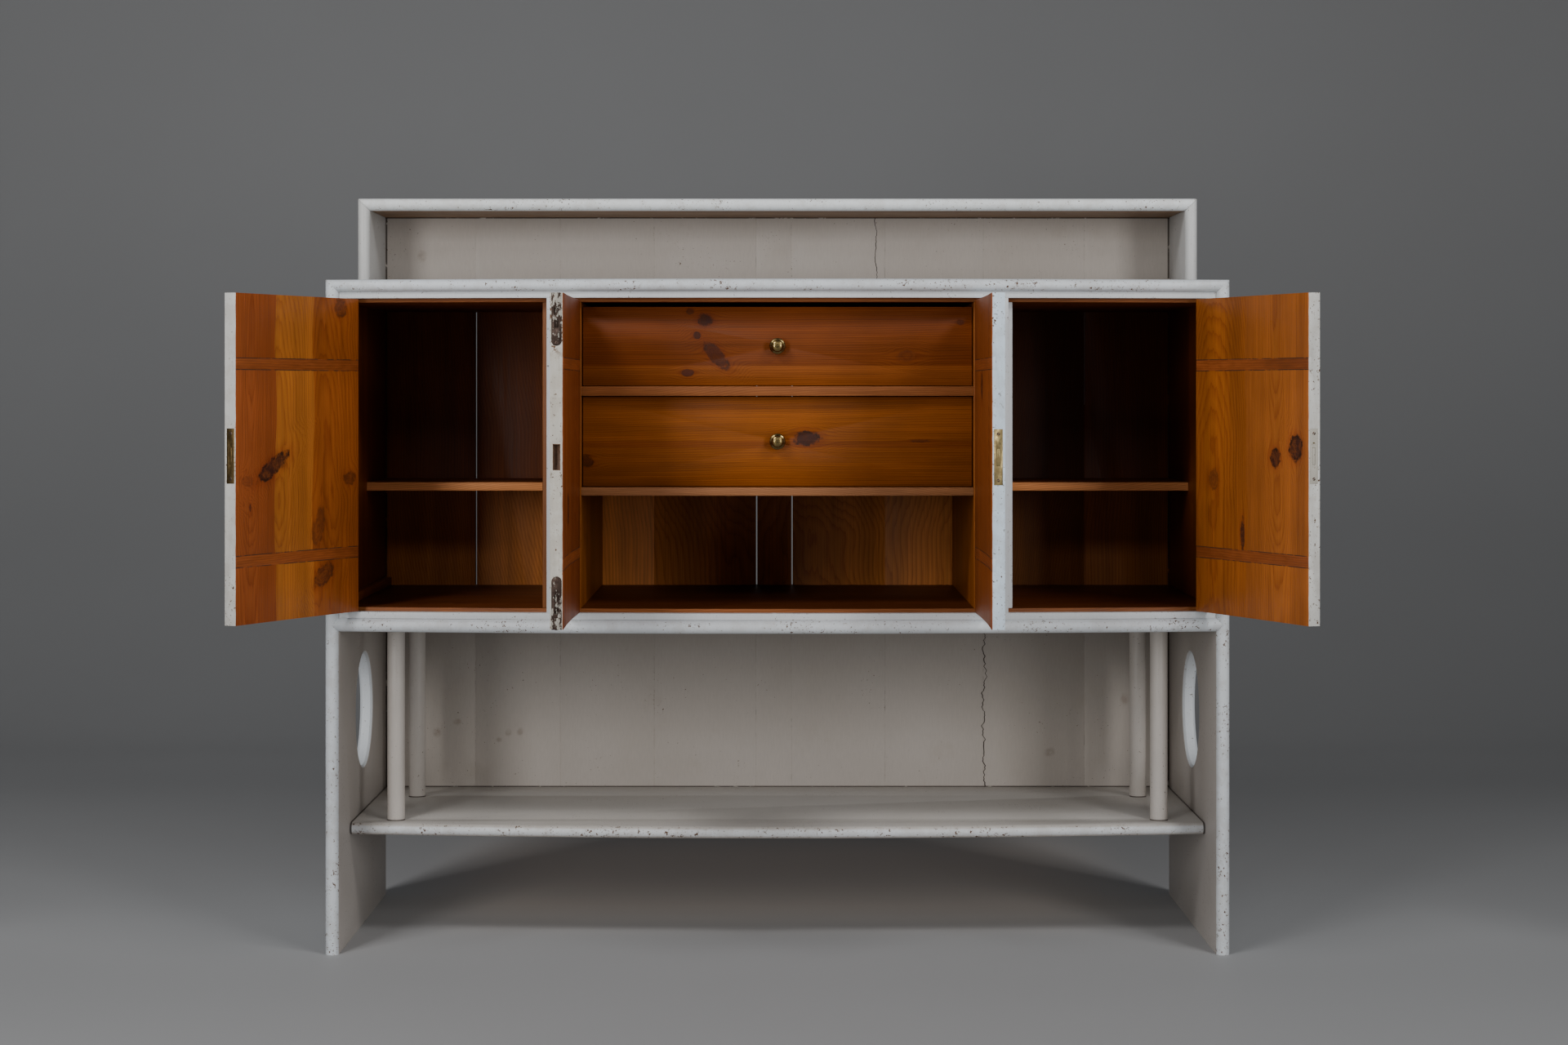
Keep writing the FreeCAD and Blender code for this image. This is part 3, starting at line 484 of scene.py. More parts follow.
def crack(where, low, high, sway, half):
    """A dark crack that wanders up a board."""

    def mark(tree, place, colour):
        x, _, z = tree.split(place)
        bend = tree.noise(tree.join(0.0, 0.0, z), 22.0, 3.0, 0.7)
        line = tree.minus(x, tree.fade(bend, 0.25, 0.75, -sway, sway))
        wide = tree.noise(tree.join(3.0, 0.0, z), 30.0)
        wide = tree.fade(wide, 0.3, 0.7, half * 0.5, half)
        off = tree.size(tree.minus(line, where))
        line = tree.fade(tree.math("DIVIDE", off, wide), 1.3, 0.8)
        return tree.mix(tree.both(line, tree.between(z, low, high)), colour, DIRT)

    return mark


def stains(spots, stain, strength):
    """Soft blots on an upright face: (x, z, half width, half height, turn) in millimetres."""

    def mark(tree, place, colour):
        x, _, z = tree.split(place)
        flat = tree.join(x, z, 0.0)
        mask = 0.0
        for spot in spots:
            distance = oval(tree, flat, *(size * MM for size in spot[:4]), spot[4])
            mask = tree.most(mask, tree.fade(distance, 1.5, 0.5))
        grit = tree.cloud(place, (90.0, 3.0, 0.7), 0.30, 0.62, 0.35, 1.0)
        return tree.mix(tree.both(mask, grit, strength), colour, stain)

    return mark


def tinted(low, high, tint, axis="Z"):
    """Multiplies the colour by a tint where one axis lies between two values."""

    def mark(tree, place, colour):
        inside = tree.between(tree.along(place, axis), low, high)
        return tree.mix(inside, colour, tree.tint(colour, tint))

    return mark


def graded(low, high, first, last):
    """Multiplies the colour below a height by a level that goes from first to last."""

    def mark(tree, place, colour):
        height = tree.along(place, "Z")
        level = tree.fade(height, low, high, first, last)
        return tree.mix(tree.below(height, high), colour, tree.shade(colour, level))

    return mark


def level_face_shade(tint):
    """Multiplies the colour of upward and downward faces by a tint: painted shade that leaves the
    fronts of boards paler than their level faces.
    """

    def mark(tree, place, colour):
        normal = tree.add("ShaderNodeNewGeometry").outputs["Normal"]
        level = tree.fade(tree.size(tree.along(normal, "Z")), 0.4, 0.8)
        return tree.mix(level, colour, tree.tint(colour, tint))

    return mark


# Paint
NOSING_WORN = (9 * MM, 3 * MM)
PAINT_RELIEF = 0.35 * MM
WOOD_RELIEF = 0.12 * MM
METAL_RELIEF = 0.04 * MM


def edge_wear(tree, reach):
    """Near 1 at the arrises of a piece, and 0 away from them."""
    bevel = tree.add("ShaderNodeBevel", {"Radius": reach}, samples=6).outputs[0]
    true = tree.add("ShaderNodeNewGeometry").outputs["Normal"]
    return tree.fade(tree.vector("DOT_PRODUCT", bevel, true), 0.99, 0.80)


def paint_look(tree, place, tone, wear, chips, grime):
    """Colour, roughness and height of brushed paint, chipped where wear is near 1."""
    patches = tree.noise(place, 3.2, 4.0, 0.6)
    colour = tree.mix(tree.fade(patches, 0.30, 0.72), scaled(tone, 0.93, 0.92, 0.90), tone)
    stain = tree.cloud(place, (12.0, 5.0, 0.65), 0.56, 0.80)
    colour = tree.mix(tree.times(stain, 0.40 * grime), colour, scaled(tone, 0.70, 0.64, 0.55))
    brush = tree.noise(tree.stretch(place, 70.0, 70.0, 10.0), 6.0)
    colour = tree.shade(colour, tree.fade(brush, 0.25, 0.75, 0.975, 1.02))
    region = tree.noise(place, 13.0, 3.0, 0.6)
    speck = tree.plus(tree.noise(place, 230.0, 2.0, 0.6), tree.times(region, 0.30))
    speck = tree.plus(speck, tree.times(wear, 0.05))
    many = 0.875 - 0.05 * chips
    colour = tree.mix(tree.times(tree.fade(speck, many, many + 0.03), 0.5 + 0.5 * grime),
                      colour, scaled(tone, 0.26, 0.20, 0.15))
    rubbed = tree.both(wear, tree.cloud(place, (36.0, 4.0, 0.7), 0.44, 0.62))
    colour = tree.mix(tree.times(rubbed, 0.42), colour, scaled(tone, 0.58, 0.50, 0.42))
    fine = tree.noise(place, 180.0, 3.0, 0.7)
    broken = tree.plus(fine, tree.times(region, 0.40))
    broken = tree.plus(broken, tree.times(wear, 0.10 + 0.08 * chips))
    edge = 0.980 - 0.05 * chips
    chip = tree.fade(broken, edge, edge + 0.012)
    primer = tree.fade(broken, edge - 0.022, edge - 0.008)
    colour = tree.mix(tree.times(primer, 0.6), colour, scaled(tone, 0.80, 0.68, 0.52))
    bare = tree.mix(tree.noise(place, 50.0), (0.050, 0.022, 0.012), (0.16, 0.075, 0.038))
    colour = tree.mix(chip, colour, bare)
    rough = tree.blend(chip, tree.fade(patches, 0.3, 0.7, 0.34, 0.46), 0.75)
    height = tree.minus(tree.times(brush, 0.35), tree.times(chip, 0.9))
    height = tree.plus(height, tree.times(tree.noise(place, 14.0, 3.0), 0.8))
    return colour, rough, height


def before(limit, marks):
    """Keeps marks to the places in front of a depth."""

    def mark(tree, place, colour):
        front = tree.below(tree.along(place, "Y"), limit)
        return tree.mix(front, colour, add_marks(tree, place, colour, marks))

    return mark


def add_marks(tree, place, colour, marks):
    for mark in marks:
        colour = mark(tree, place, colour)
    return colour


def painted(name, tone=None, reach=3.0 * MM, chips=0.5, grime=0.5, nosing=0.0, marks=(),
            bare=None, wood=None, door=None, rubbed=None):
    """Worn paint, with bare waxed pine where the mask bare(tree, place) is 1.

    nosing is how much the rounded front of a bow is rubbed, below 0 for the low shelf.
    rubbed is an axis and the place along it, on either side for X, that wear reaches to.
    """
    material, tree, shader = new_material(name)
    place = shut_place(tree, door)
    wear = edge_wear(tree, reach)
    if nosing:
        radius = NOSE_RADIUS if nosing > 0 else NOSE_RADIUS - (LOW_SHELF_FRONT - NOSE_FRONT)
        front = tree.fade(bow_distance(tree, place), *(radius - back for back in NOSING_WORN))
        wear = tree.most(wear, tree.times(front, abs(nosing)))
    if rubbed:
        axis, limit = rubbed
        value = tree.along(place, axis)
        value = tree.size(value) if axis == "X" else value
        wear = tree.most(wear, tree.times(tree.below(value, limit), 0.55))
    tone = tuple(tone or finishes().paint)
    colour, rough, height = paint_look(tree, place, tone, wear, chips, grime)
    if bare:
        mask = bare(tree, place)
        pine = wood_look(tree, place, **wood)
        colour = tree.mix(mask, colour, pine[0])
        rough = tree.blend(mask, rough, pine[1])
        height = tree.blend(mask, height, tree.times(pine[2], 0.35))
    colour = add_marks(tree, place, colour, marks)
    tree.feed(shader, {"Specular IOR Level": 0.22 if bare else 0.35})
    finish_surface(tree, shader, colour, rough, height, PAINT_RELIEF)
    return material


def waxed(name, axes, boards=(), marks=(), **wood):
    """Waxed pine with its grain along the second of the axes."""
    material, tree, shader = new_material(name)
    place = shut_place(tree)
    colour, rough, height = wood_look(tree, place, axes, boards, **wood)
    colour = add_marks(tree, place, colour, marks)
    tree.feed(shader, {"Specular IOR Level": 0.17})
    finish_surface(tree, shader, colour, rough, height, WOOD_RELIEF)
    return material


def metal(name, colour, rough, dirt, polish=0.5, paint=None):
    """Old metal: dull with dirt, brighter where it is handled, and here and there painted."""
    material, tree, shader = new_material(name)
    place = shut_place(tree)
    cloud = tree.cloud(place, (90.0, 4.0, 0.65), 0.35, 0.70)
    wear = edge_wear(tree, 0.8 * MM)
    shade = tree.mix(tree.times(cloud, dirt), colour, scaled(colour, 0.35, 0.30, 0.28))
    shade = tree.mix(tree.times(wear, polish), shade, scaled(colour, 1.35))
    scuff = tree.noise(place, 400.0, 3.0, 0.7)
    rough = tree.fade(scuff, 0.3, 0.7, rough * 0.75, rough * 1.25)
    rough = tree.plus(rough, tree.times(cloud, 0.18))
    metallic = 1.0
    if paint:
        mask = paint(tree, place, wear)
        shade = tree.mix(mask, shade, (0.44, 0.41, 0.35))
        rough = tree.blend(mask, rough, 0.5)
        metallic = tree.minus(1.0, mask)
    tree.feed(shader, {"Metallic": metallic})
    finish_surface(tree, shader, shade, rough, scuff, METAL_RELIEF)
    return material


# Pieces
WELD = 0.005 * MM
FLAT_ANGLE = math.radians(0.6)
ARRIS_ANGLE = math.radians(35)


def only(piece):
    bpy.ops.object.select_all(action="DESELECT")
    piece.select_set(True)
    bpy.context.view_layer.objects.active = piece


def body_of(node):
    return frame["nodes"][node]["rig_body"]


def apply_modifier(piece, kind, **settings):
    modifier = piece.modifiers.new(kind.lower(), kind)
    for name, value in settings.items():
        setattr(modifier, name, value)
    only(piece)
    bpy.ops.object.modifier_apply(modifier=modifier.name)


def smooth(piece, angle=42.0):
    only(piece)
    bpy.ops.object.shade_smooth_by_angle(angle=math.radians(angle))


def finish_piece(piece, node, material):
    """Gives a piece its material, and lets it stand for a node and ride with it."""
    piece.data.materials.clear()
    piece.data.materials.append(material)
    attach(piece, body_of(node))
    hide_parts(node)


def edit_only(kind, parts, wanted):
    """Enters edit mode with only the wanted faces or edges of the active mesh selected."""
    bpy.ops.object.mode_set(mode="EDIT")
    bpy.ops.mesh.select_mode(type=kind)
    bpy.ops.mesh.select_all(action="DESELECT")
    bpy.ops.object.mode_set(mode="OBJECT")
    for part in parts:
        part.select = wanted(part)
    bpy.ops.object.mode_set(mode="EDIT")


def leave_edit():
    bpy.ops.mesh.select_mode(type="VERT")
    bpy.ops.object.mode_set(mode="OBJECT")


def split_off(piece, start):
    """Parts the boards of a piece that lie past start along X, and returns them."""
    only(piece)
    edit_only("FACE", piece.data.polygons,
              lambda face: face.center.x - face.normal.x * MM > start)
    bpy.ops.mesh.separate(type="SELECTED")
    leave_edit()
    return next(item for item in bpy.context.selected_objects if item != piece)


def merge_faces(piece):
    """Joins the flat faces of a piece, and drops those between boards glued together."""
    only(piece)
    bpy.ops.mesh.customdata_custom_splitnormals_clear()
    bpy.ops.object.mode_set(mode="EDIT")
    bpy.ops.mesh.select_all(action="SELECT")
    bpy.ops.mesh.remove_doubles(threshold=WELD)
    bpy.ops.mesh.select_mode(type="FACE")
    bpy.ops.mesh.select_all(action="DESELECT")
    bpy.ops.mesh.select_interior_faces()
    bpy.ops.mesh.delete(type="FACE")
    bpy.ops.mesh.select_all(action="SELECT")
    bpy.ops.mesh.dissolve_limited(angle_limit=FLAT_ANGLE)
    leave_edit()


def dressed(node, material, arris, starts=()):
    """A copy of a CAD piece with merged faces and softened arrises.

    starts lists where boards that touch meet along X, so that they stay apart.
    """
    piece = bpy.data.objects.new(node + "_dressed", frame["nodes"][node].data.copy())
    bpy.context.scene.collection.objects.link(piece)
    boards = [piece]
    for start in starts:
        boards.append(split_off(boards[-1], start))
    for board in boards:
        merge_faces(board)
    if starts:
        only(piece)
        for board in boards:
            board.select_set(True)
        bpy.ops.object.join()
    apply_modifier(piece, "BEVEL", width=arris, segments=2, limit_method="ANGLE",
                   angle_limit=ARRIS_ANGLE, use_clamp_overlap=True)
    smooth(piece)
    finish_piece(piece, node, material)


class SIDEBOARD_OT_case(bpy.types.Operator):
    """Painted boards that make the outside of the case"""

    bl_idname = "sideboard.case"
    bl_label = "Case boards"

    def execute(self, context):
        arris = edges().board_round
        paint = finishes().paint
        # The top and bottom boards get paler paint: a painted highlight along their nosings.
        highlight_paint = scaled(paint, 1.06, 1.08, 1.10)
        dressed("top_board", painted("paint_top", highlight_paint, chips=0.6, nosing=0.55), arris)
        dressed("bottom_board", painted("paint_bottom", highlight_paint, chips=0.65, nosing=0.5), arris)
        ends = seam("X", INNER_HALF - 1.5 * MM, 1.6 * MM, sides=True, broken=0.30)
        # Painted shade: the low shelf's top and underside are darker and warmer than its front.
        worn = level_face_shade((0.84, 0.77, 0.70))
        dressed("lower_shelf", painted("paint_low_shelf", chips=0.7, nosing=-0.6,
                                       marks=[worn, ends]), arris)
        for side, sign in (("left", -1), ("right", 1)):
            dressed("side_panel_" + side, side_finish("paint_side_" + side, sign), arris)
            dressed("gallery_side_" + side,
                    painted("paint_gallery_" + side, scaled(paint, 0.95, 0.92, 0.88)), arris)
        dressed("gallery_top", gallery_top_finish(), arris)
        return {"FINISHED"}


# How far behind their front edges boards are rubbed, and where their bare pine begins
SIDE_RUBBED = SIDE_FRONT + 10 * MM
SIDE_BARE = SIDE_FRONT + 25 * MM
GALLERY_RUBBED = GALLERY_FRONT + 8 * MM
GALLERY_BARE = GALLERY_FRONT + 14 * MM


def side_finish(name, sign):
    """A side panel: paint, but bare pine inside the case."""

    def bare(tree, place):
        x, y, z = tree.split(place)
        inward = tree.below(tree.times(x, sign), INNER_HALF + 0.4 * MM)
        behind = tree.above(y, SIDE_BARE)
        return tree.both(inward, behind, tree.between(z, BOTTOM_TOP, TOP_UNDER))

    wood = {"axes": "YZX", "boards": (0.15,), "seed": 3.0 + sign, "tone": 0.5}
    inner_side = tinted(*sorted((0.0, sign * (INNER_HALF + SLACK))), (0.80, 0.70, 0.62), "X")
    return painted(name, scaled(finishes().paint, 1.04, 1.06, 1.08), reach=4 * MM, chips=0.6,
                   bare=bare, wood=wood, rubbed=("Y", SIDE_RUBBED), marks=[inner_side])


def gallery_top_finish():
    """Paint made paler as a painted highlight for the nosing, with the underside bare behind the
    nosing.
    """

    def bare(tree, place):
        _, y, z = tree.split(place)
        return tree.both(tree.below(z, GALLERY_UNDER + SLACK), tree.above(y, GALLERY_BARE))

    wood = {"axes": "YXZ", "seed": 5.0, "tones": [(0.45, 0.88, 4.2)]}
    # The tone of 1.36 times the paint is a painted highlight: the nosing catches light from above.
    return painted("paint_gallery_top", scaled(finishes().paint, 1.36, 1.36, 1.34),
                   reach=7 * MM, bare=bare, wood=wood, rubbed=("Y", GALLERY_RUBBED))


class SIDEBOARD_OT_front(bpy.types.Operator):
    """Lips, stiles, posts and door stops of the front"""

    bl_idname = "sideboard.front"
    bl_label = "Front frame"

    def execute(self, context):
        arris = edges().board_round
        nails = stains([(-353, 968, 1.6, 1.6, 0), (-353, 911, 1.4, 1.4, 0)], DIRT, 0.9)
        paint = painted("paint_front", grime=0.7, marks=[nails])
        for node in ("top_lip", "bottom_lip", "stile_left", "stile_right", "face_post_left",
                     "face_post_right"):
            dressed(node, paint, arris)

        def bare(tree, place):
            return tree.below(tree.along(place, "X"), 0.0)

        wood = {"axes": "XZY", "seed": 7.0, "tones": [(0.45, 0.55, 1.6)]}
        stops = painted("paint_stops", chips=0.4, grime=0.7, bare=bare, wood=wood)
        dressed("door_stops", stops, arris)
        return {"FINISHED"}


class SIDEBOARD_OT_posts(bpy.types.Operator):
    """Round posts of the open bay"""

    bl_idname = "sideboard.posts"
    bl_label = "Round posts"

    def execute(self, context):
        foot = seam("Z", LOW_SHELF_TOP, 1.4 * MM)
        tone = scaled(finishes().paint_aged, 1.05, 1.07, 1.09)
        dressed("turned_posts", painted("paint_posts", tone, marks=[foot]),
                edges().inner_round)
        return {"FINISHED"}


# Joints of the back boards in shares of the half-width, and the brightness of each board
BACK_SHARES = (-0.759, -0.546, -0.31, -0.054, 0.035, 0.27, 0.517, 0.771)
BACK_TONES = (0.9, 1.0, 1.4, 1.0, 0.9, 1.0, 1.0, 0.5, 0.75)


class SIDEBOARD_OT_back(bpy.types.Operator):
    """Back boards, painted where they are open to view"""

    bl_idname = "sideboard.back"
    bl_label = "Back boards"

    def execute(self, context):
        joints = [share * BACK_HALF for share in BACK_SHARES]
        rear = BACK_FACE + SLACK

        def bare(tree, place):
            _, y, z = tree.split(place)
            return tree.most(tree.between(z, BOTTOM_UNDER, CASE_TOP), tree.above(y, rear))

        wood = {"axes": "XZY", "boards": joints, "seed": 11.0,
                "tones": [(0.31 * t, 0.28 * t, 0.6 * t) for t in BACK_TONES]}
        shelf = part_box("side_shelf_left")[0].z
        marks = [seam("X", joint, 0.8 * MM, broken=0.58, strength=0.2) for joint in joints]
        marks += [
            # Painted light: the back inside the case is three to four times paler from below the
            # floor board up to the side shelves, so the lower compartments look lit.
            tinted(BOTTOM_TOP - 20 * MM, shelf, (3.2, 4.2, 4.0)),
            # Painted shade: in the open bay the back darkens towards the top, from 0.98 at the low
            # shelf to 0.64 under the bottom board.
            graded(LOW_SHELF_TOP, BOTTOM_UNDER, 0.98, 0.64),
            seam("X", INNER_HALF - 1.0 * MM, 1.4 * MM, sides=True),
            seam("Z", LOW_SHELF_TOP, 1.3 * MM), seam("Z", GALLERY_UNDER, 1.6 * MM),
            crack(0.358, LOW_SHELF_TOP, BOTTOM_UNDER, 7 * MM, 1.0 * MM),
            crack(0.171, 1.050, 1.174, 4 * MM, 0.8 * MM),
            stains([(-591, 281, 7, 8, 20), (-467, 281, 5, 6, 0), (-446, 282, 5, 6, 0),
                    (-483, 268, 5, 4, 0), (-555, 299, 7, 5, 0), (602, 339, 7, 9, 0),
                    (472, 247, 8, 6, 30), (-616, 1107, 7, 9, 0)],
                   (0.26, 0.19, 0.14), 0.45),
        ]
        marks = [before(rear, marks), tinted(rear, 1.0, (2.0, 2.3, 3.2), "Y")]
        dressed("back_boards", painted("back", tuple(finishes().paint_aged), chips=0.2,
                                       grime=0.6, marks=marks, bare=bare, wood=wood),
                edges().metal_round, joints)
        return {"FINISHED"}


# Material, pieces, seed, tint, and the tint of their level faces, which is painted shade. The pale
# tints of the drawer shelf and the side shelves are painted light: they make these boards brighter
# than their wood.
LEVEL_BOARDS = (
    ("pine_level", ("inner_top", "drawer_rail"), 21.0, (0.47, 0.54, 1.5), (0.6, 0.5, 0.4)),
    ("pine_drawer_shelf", ("drawer_shelf",), 22.0, (0.46, 0.67, 2.6), (0.5, 0.36, 0.2)),
    ("pine_side_shelf", ("side_shelf_left", "side_shelf_right"), 23.0, (1.3, 1.8, 6.0),
     (0.30, 0.22, 0.16)),
    ("pine_floor", ("floor_board",), 25.0, (0.47, 0.54, 1.5), (0.40, 0.32, 0.25)),
)


class SIDEBOARD_OT_inside(bpy.types.Operator):
    """Bare pine boards inside the case"""

    bl_idname = "sideboard.inside"
    bl_label = "Inside of the case"

    def execute(self, context):
        arris = edges().inner_round
        for name, nodes, seed, tone, face in LEVEL_BOARDS:
            pine = waxed(name, "YXZ", (0.02, 0.22), seed=seed, tones=[tone] * 3,
                         marks=[level_face_shade(face)])
            for node in nodes:
                dressed(node, pine, arris)
        upright = waxed("pine_upright", "YZX", boards=(0.1, 0.3), seed=31.0, tone=0.5)
        for node in ("partition_left", "partition_right"):
            dressed(node, upright, arris)
        deep = waxed("pine_deep", "ZYX", seed=41.0, tone=0.55)
        for node in ("drawer_runners", "floor_batten"):
            dressed(node, deep, arris)
        return {"FINISHED"}


# The doors' boards and knots when shut, in millimetres. A board is (start, tint, heart),
# and a knot is (across, up, half width, half height, turn, darkness).
DOOR_BOARDS = {
    "outer_left": ((None, (0.57, 0.50, 0.65), -600), (-550.5, (0.72, 0.78, 1.2), -470),
                   (-455.0, (0.47, 0.38, 0.75), -393)),
    "outer_right": ((None, (0.70, 0.69, 1.1), 440), (525.6, (0.57, 0.54, 0.65), 640)),
    "centre_left": ((None, (0.38, 0.30, 0.5), -260), (-170.0, (0.43, 0.35, 0.6), -90)),
    "centre_right": ((None, (0.51, 0.44, 0.7), 60), (150.0, (0.45, 0.39, 0.6), 260)),
}
DOOR_TINTS = {
    "outer_left": (0.95, 0.91, 0.84), "outer_right": (0.95, 0.91, 0.84),
    "centre_left": (0.88, 0.81, 0.70), "centre_right": (0.97, 1.10, 1.22),
}
DOOR_KNOTS = {
    "outer_left": ((-447, 760, 36, 11, -27, 1.0), (-391, 703, 2, 6, 0, 0.8),
                   (-385, 741, 12, 7, 0, 0.25), (-563, 667, 12, 28, 18, 0.45),
                   (-576, 594, 24, 12, -35, 0.70), (-642, 739, 14, 9, 0, 0.6),
                   (-619, 1000, 13, 13, 0, 0.6)),
    "outer_right": ((390, 789.5, 15, 16, 10, 1.0), (445, 774, 12, 12, 0, 1.0),
                    (616, 738, 11, 14, 0, 0.5), (535.5, 657, 5.5, 20, 0, 0.9)),
    "centre_left": ((-120, 700, 14, 20, 0, 0.8),),
    "centre_right": ((210, 880, 14, 18, 0, 0.8),),
}
DRAWER_KNOTS = {
    "upper": ((-111, 983, 10, 9, 0, 0.95), (-125, 959, 5, 5, 0, 0.9),
              (-95, 928, 22, 9, -50, 0.75), (-139, 901, 9, 5, 0, 0.8),
              (-135, 996, 5, 4, 0, 0.6), (283, 979, 5, 4, 0, 0.5), (200, 926, 12, 8, 0, 0.2)),
    "lower": ((45.5, 799.5, 18, 10, 0, 1.0), (-296, 764, 10, 8, 0, 0.7),
              (223, 795, 14, 2, 0, 0.5)),
}
DRAWER_TONES = {"upper": (0.29, 0.23, 0.22), "lower": (0.42, 0.38, 0.18)}
# Heights between which a drawer front has another tint, and that tint
DRAWER_BANDS = {"upper": (0.0, 0.912, (1.5, 1.75, 2.4)),
                "lower": (0.785, 0.795, (0.82, 0.75, 0.8))}
# Piece, material, axes, where its boards begin, seed and tone
DRAWER_PARTS = (
    ("_sides", "pine_sides_", "ZYX", (), 91.0, 0.9),
    ("_back", "pine_rear_", "ZXY", (), 101.0, 0.85),
    ("_bottom", "pine_floor_", "YXZ", (0.05, 0.25), 111.0, 1.0),
)
BATTEN_HEIGHTS = (624.5 * MM, 912.0 * MM)
BATTEN_HALF = 8.5 * MM
DOOR_HEART_DEPTH = SIDE_FRONT - 50 * MM
EDGE_RUBBED = 1.5 * MM
STRIKE_HALF_WIDE = 6.2 * MM
STRIKE_HALF_TALL = 20 * MM


def in_metres(knots):
    return [(*(size * MM for size in knot[:4]), *knot[4:]) for knot in knots]


def door_bare(tree, place):
    """The mask of the bare inner face of a door, with a hand-painted edge line."""
    wobble = tree.times(tree.noise(place, 55.0, 3.0), 1.5 * MM)
    past = tree.minus(bow_distance(tree, place), wobble)
    return tree.fade(past, DOOR_INNER_RADIUS + SLACK, DOOR_INNER_RADIUS + 0.2 * MM)


def lost_paint(tree, place, colour):
    """Brown wood on the left centre door's edge: in the strike slot and round the plates."""
    x, y, z = tree.split(place)
    torn = tree.noise(place, 130.0, 4.0, 0.7)
    edge = tree.above(x, -3 * MM)
    plate = tree.fade(z, 0.920, 0.935)
    flaked = tree.both(edge, plate, tree.fade(torn, 0.53, 0.57))
    middle = BOW_CENTRE - (FACE_RADIUS - DOOR_THICK / 2)
    off = tree.size(tree.minus(y, middle))
    off = tree.plus(off, tree.times(torn, 1.6 * MM))
    tall = tree.size(tree.minus(z, LOCK_HEIGHT))
    tall = tree.plus(tall, tree.times(torn, 2.4 * MM))
    slot = tree.both(tree.below(off, STRIKE_HALF_WIDE), tree.below(tall, STRIKE_HALF_TALL))
    wood = tree.mix(tree.noise(place, 90.0, 3.0), (0.055, 0.026, 0.013), (0.24, 0.125, 0.065))
    return tree.mix(tree.most(flaked, slot), colour, wood)


def batten_lines(tree, place, colour):
    """Dark broken lines where the battens meet the door."""
    z = tree.along(place, "Z")
    gaps = [tree.size(tree.minus(z, height)) for height in BATTEN_HEIGHTS]
    line = tree.near(tree.math("MINIMUM", *gaps), BATTEN_HALF, 1.0 * MM, 0.35 * MM)
    inner = tree.below(bow_distance(tree, place), DOOR_INNER_RADIUS + SLACK)
    worn = tree.cloud(place, (30.0, 4.0, 0.7), 0.38, 0.50)
    return tree.mix(tree.both(line, inner, worn, 0.85), colour, DIRT)


class SIDEBOARD_OT_doors(bpy.types.Operator):
    """Curved doors: paint outside and on the edges, bare pine inside"""

    bl_idname = "sideboard.doors"
    bl_label = "Doors"

    def execute(self, context):
        for number, door in enumerate(DOORS):
            starts, tones, middles = zip(*DOOR_BOARDS[door])
            wood = {
                "axes": "XZY", "boards": [start * MM for start in starts[1:]],
                "knots": in_metres(DOOR_KNOTS[door]), "seed": 51.0 + number * 2,
                "tones": tones, "wave": 6 * MM,
                "hearts": [(middle * MM, DOOR_HEART_DEPTH) for middle in middles],
            }
            tone = scaled(finishes().paint, *DOOR_TINTS[door])
            marks = [batten_lines, lost_paint] if door == "centre_left" else [batten_lines]
            free = OUTER_EDGE if door.startswith("outer") else CENTRE_EDGE
            material = painted("door_" + door, tone, chips=0.6, bare=door_bare,
                               wood=wood, door=door, marks=marks, rubbed=("X", free + EDGE_RUBBED))
            dressed("door_" + door, material, edges().board_round)
            wood = {"axes": "ZXY", "seed": 71.0 + number * 3, "tones": [(0.48, 0.42, 0.9)]}
            batten = painted("battens_" + door, tone, chips=0.6, bare=door_bare,
                             wood=wood, door=door, marks=[batten_lines])
            dressed("battens_" + door, batten, edges().metal_round)
        return {"FINISHED"}


class SIDEBOARD_OT_drawers(bpy.types.Operator):
    """Drawers of bare pine"""

    bl_idname = "sideboard.drawers"
    bl_label = "Drawers"

    def execute(self, context):
        arris = edges().inner_round
        for number, name in enumerate(("upper", "lower")):
            knots = [(z, x, tall, wide, -turn, dark)
                     for x, z, wide, tall, turn, dark in in_metres(DRAWER_KNOTS[name])]
            front = waxed("pine_front_" + name, "ZXY", knots=knots, seed=81.0 + number * 7,
                          tones=[DRAWER_TONES[name]], marks=[tinted(*DRAWER_BANDS[name])],
                          ruddy=0.3)
            dressed("drawer_" + name + "_front", front, edges().board_round)
            for part, look, axes, boards, seed, tone in DRAWER_PARTS:
                pine = waxed(look + name, axes, boards, seed=seed + number * 5, tone=tone)
                dressed("drawer_" + name + part, pine, arris)
        return {"FINISHED"}


# Radius and distance from the drawer front of each ring of a knob, with its shank
KNOB_RINGS = (
    (2.5, -14.0), (2.5, -0.2), (8.2, 0.0), (8.5, 0.6), (8.5, 1.6), (7.9, 2.2), (5.9, 3.0),
    (5.4, 4.2), (5.9, 5.6), (8.3, 7.2), (10.6, 9.6), (11.9, 12.0), (12.3, 13.5), (12.3, 15.5),
    (11.2, 16.6), (9.6, 17.0), (9.0, 17.6), (8.8, 18.6), (7.9, 20.4), (5.8, 21.6), (3.0, 22.0),
)
KNOB_LENGTH = 22 * MM
KNOB_SIDES = 48
SCREW_SIDES = 24
SCREW_RINGS = ((2.4, -1.0), (2.4, 0.02), (2.2, 0.12), (1.4, 0.17))
SLOT_HALF = 0.4 * MM
SLOT_DEPTH = 0.5 * MM


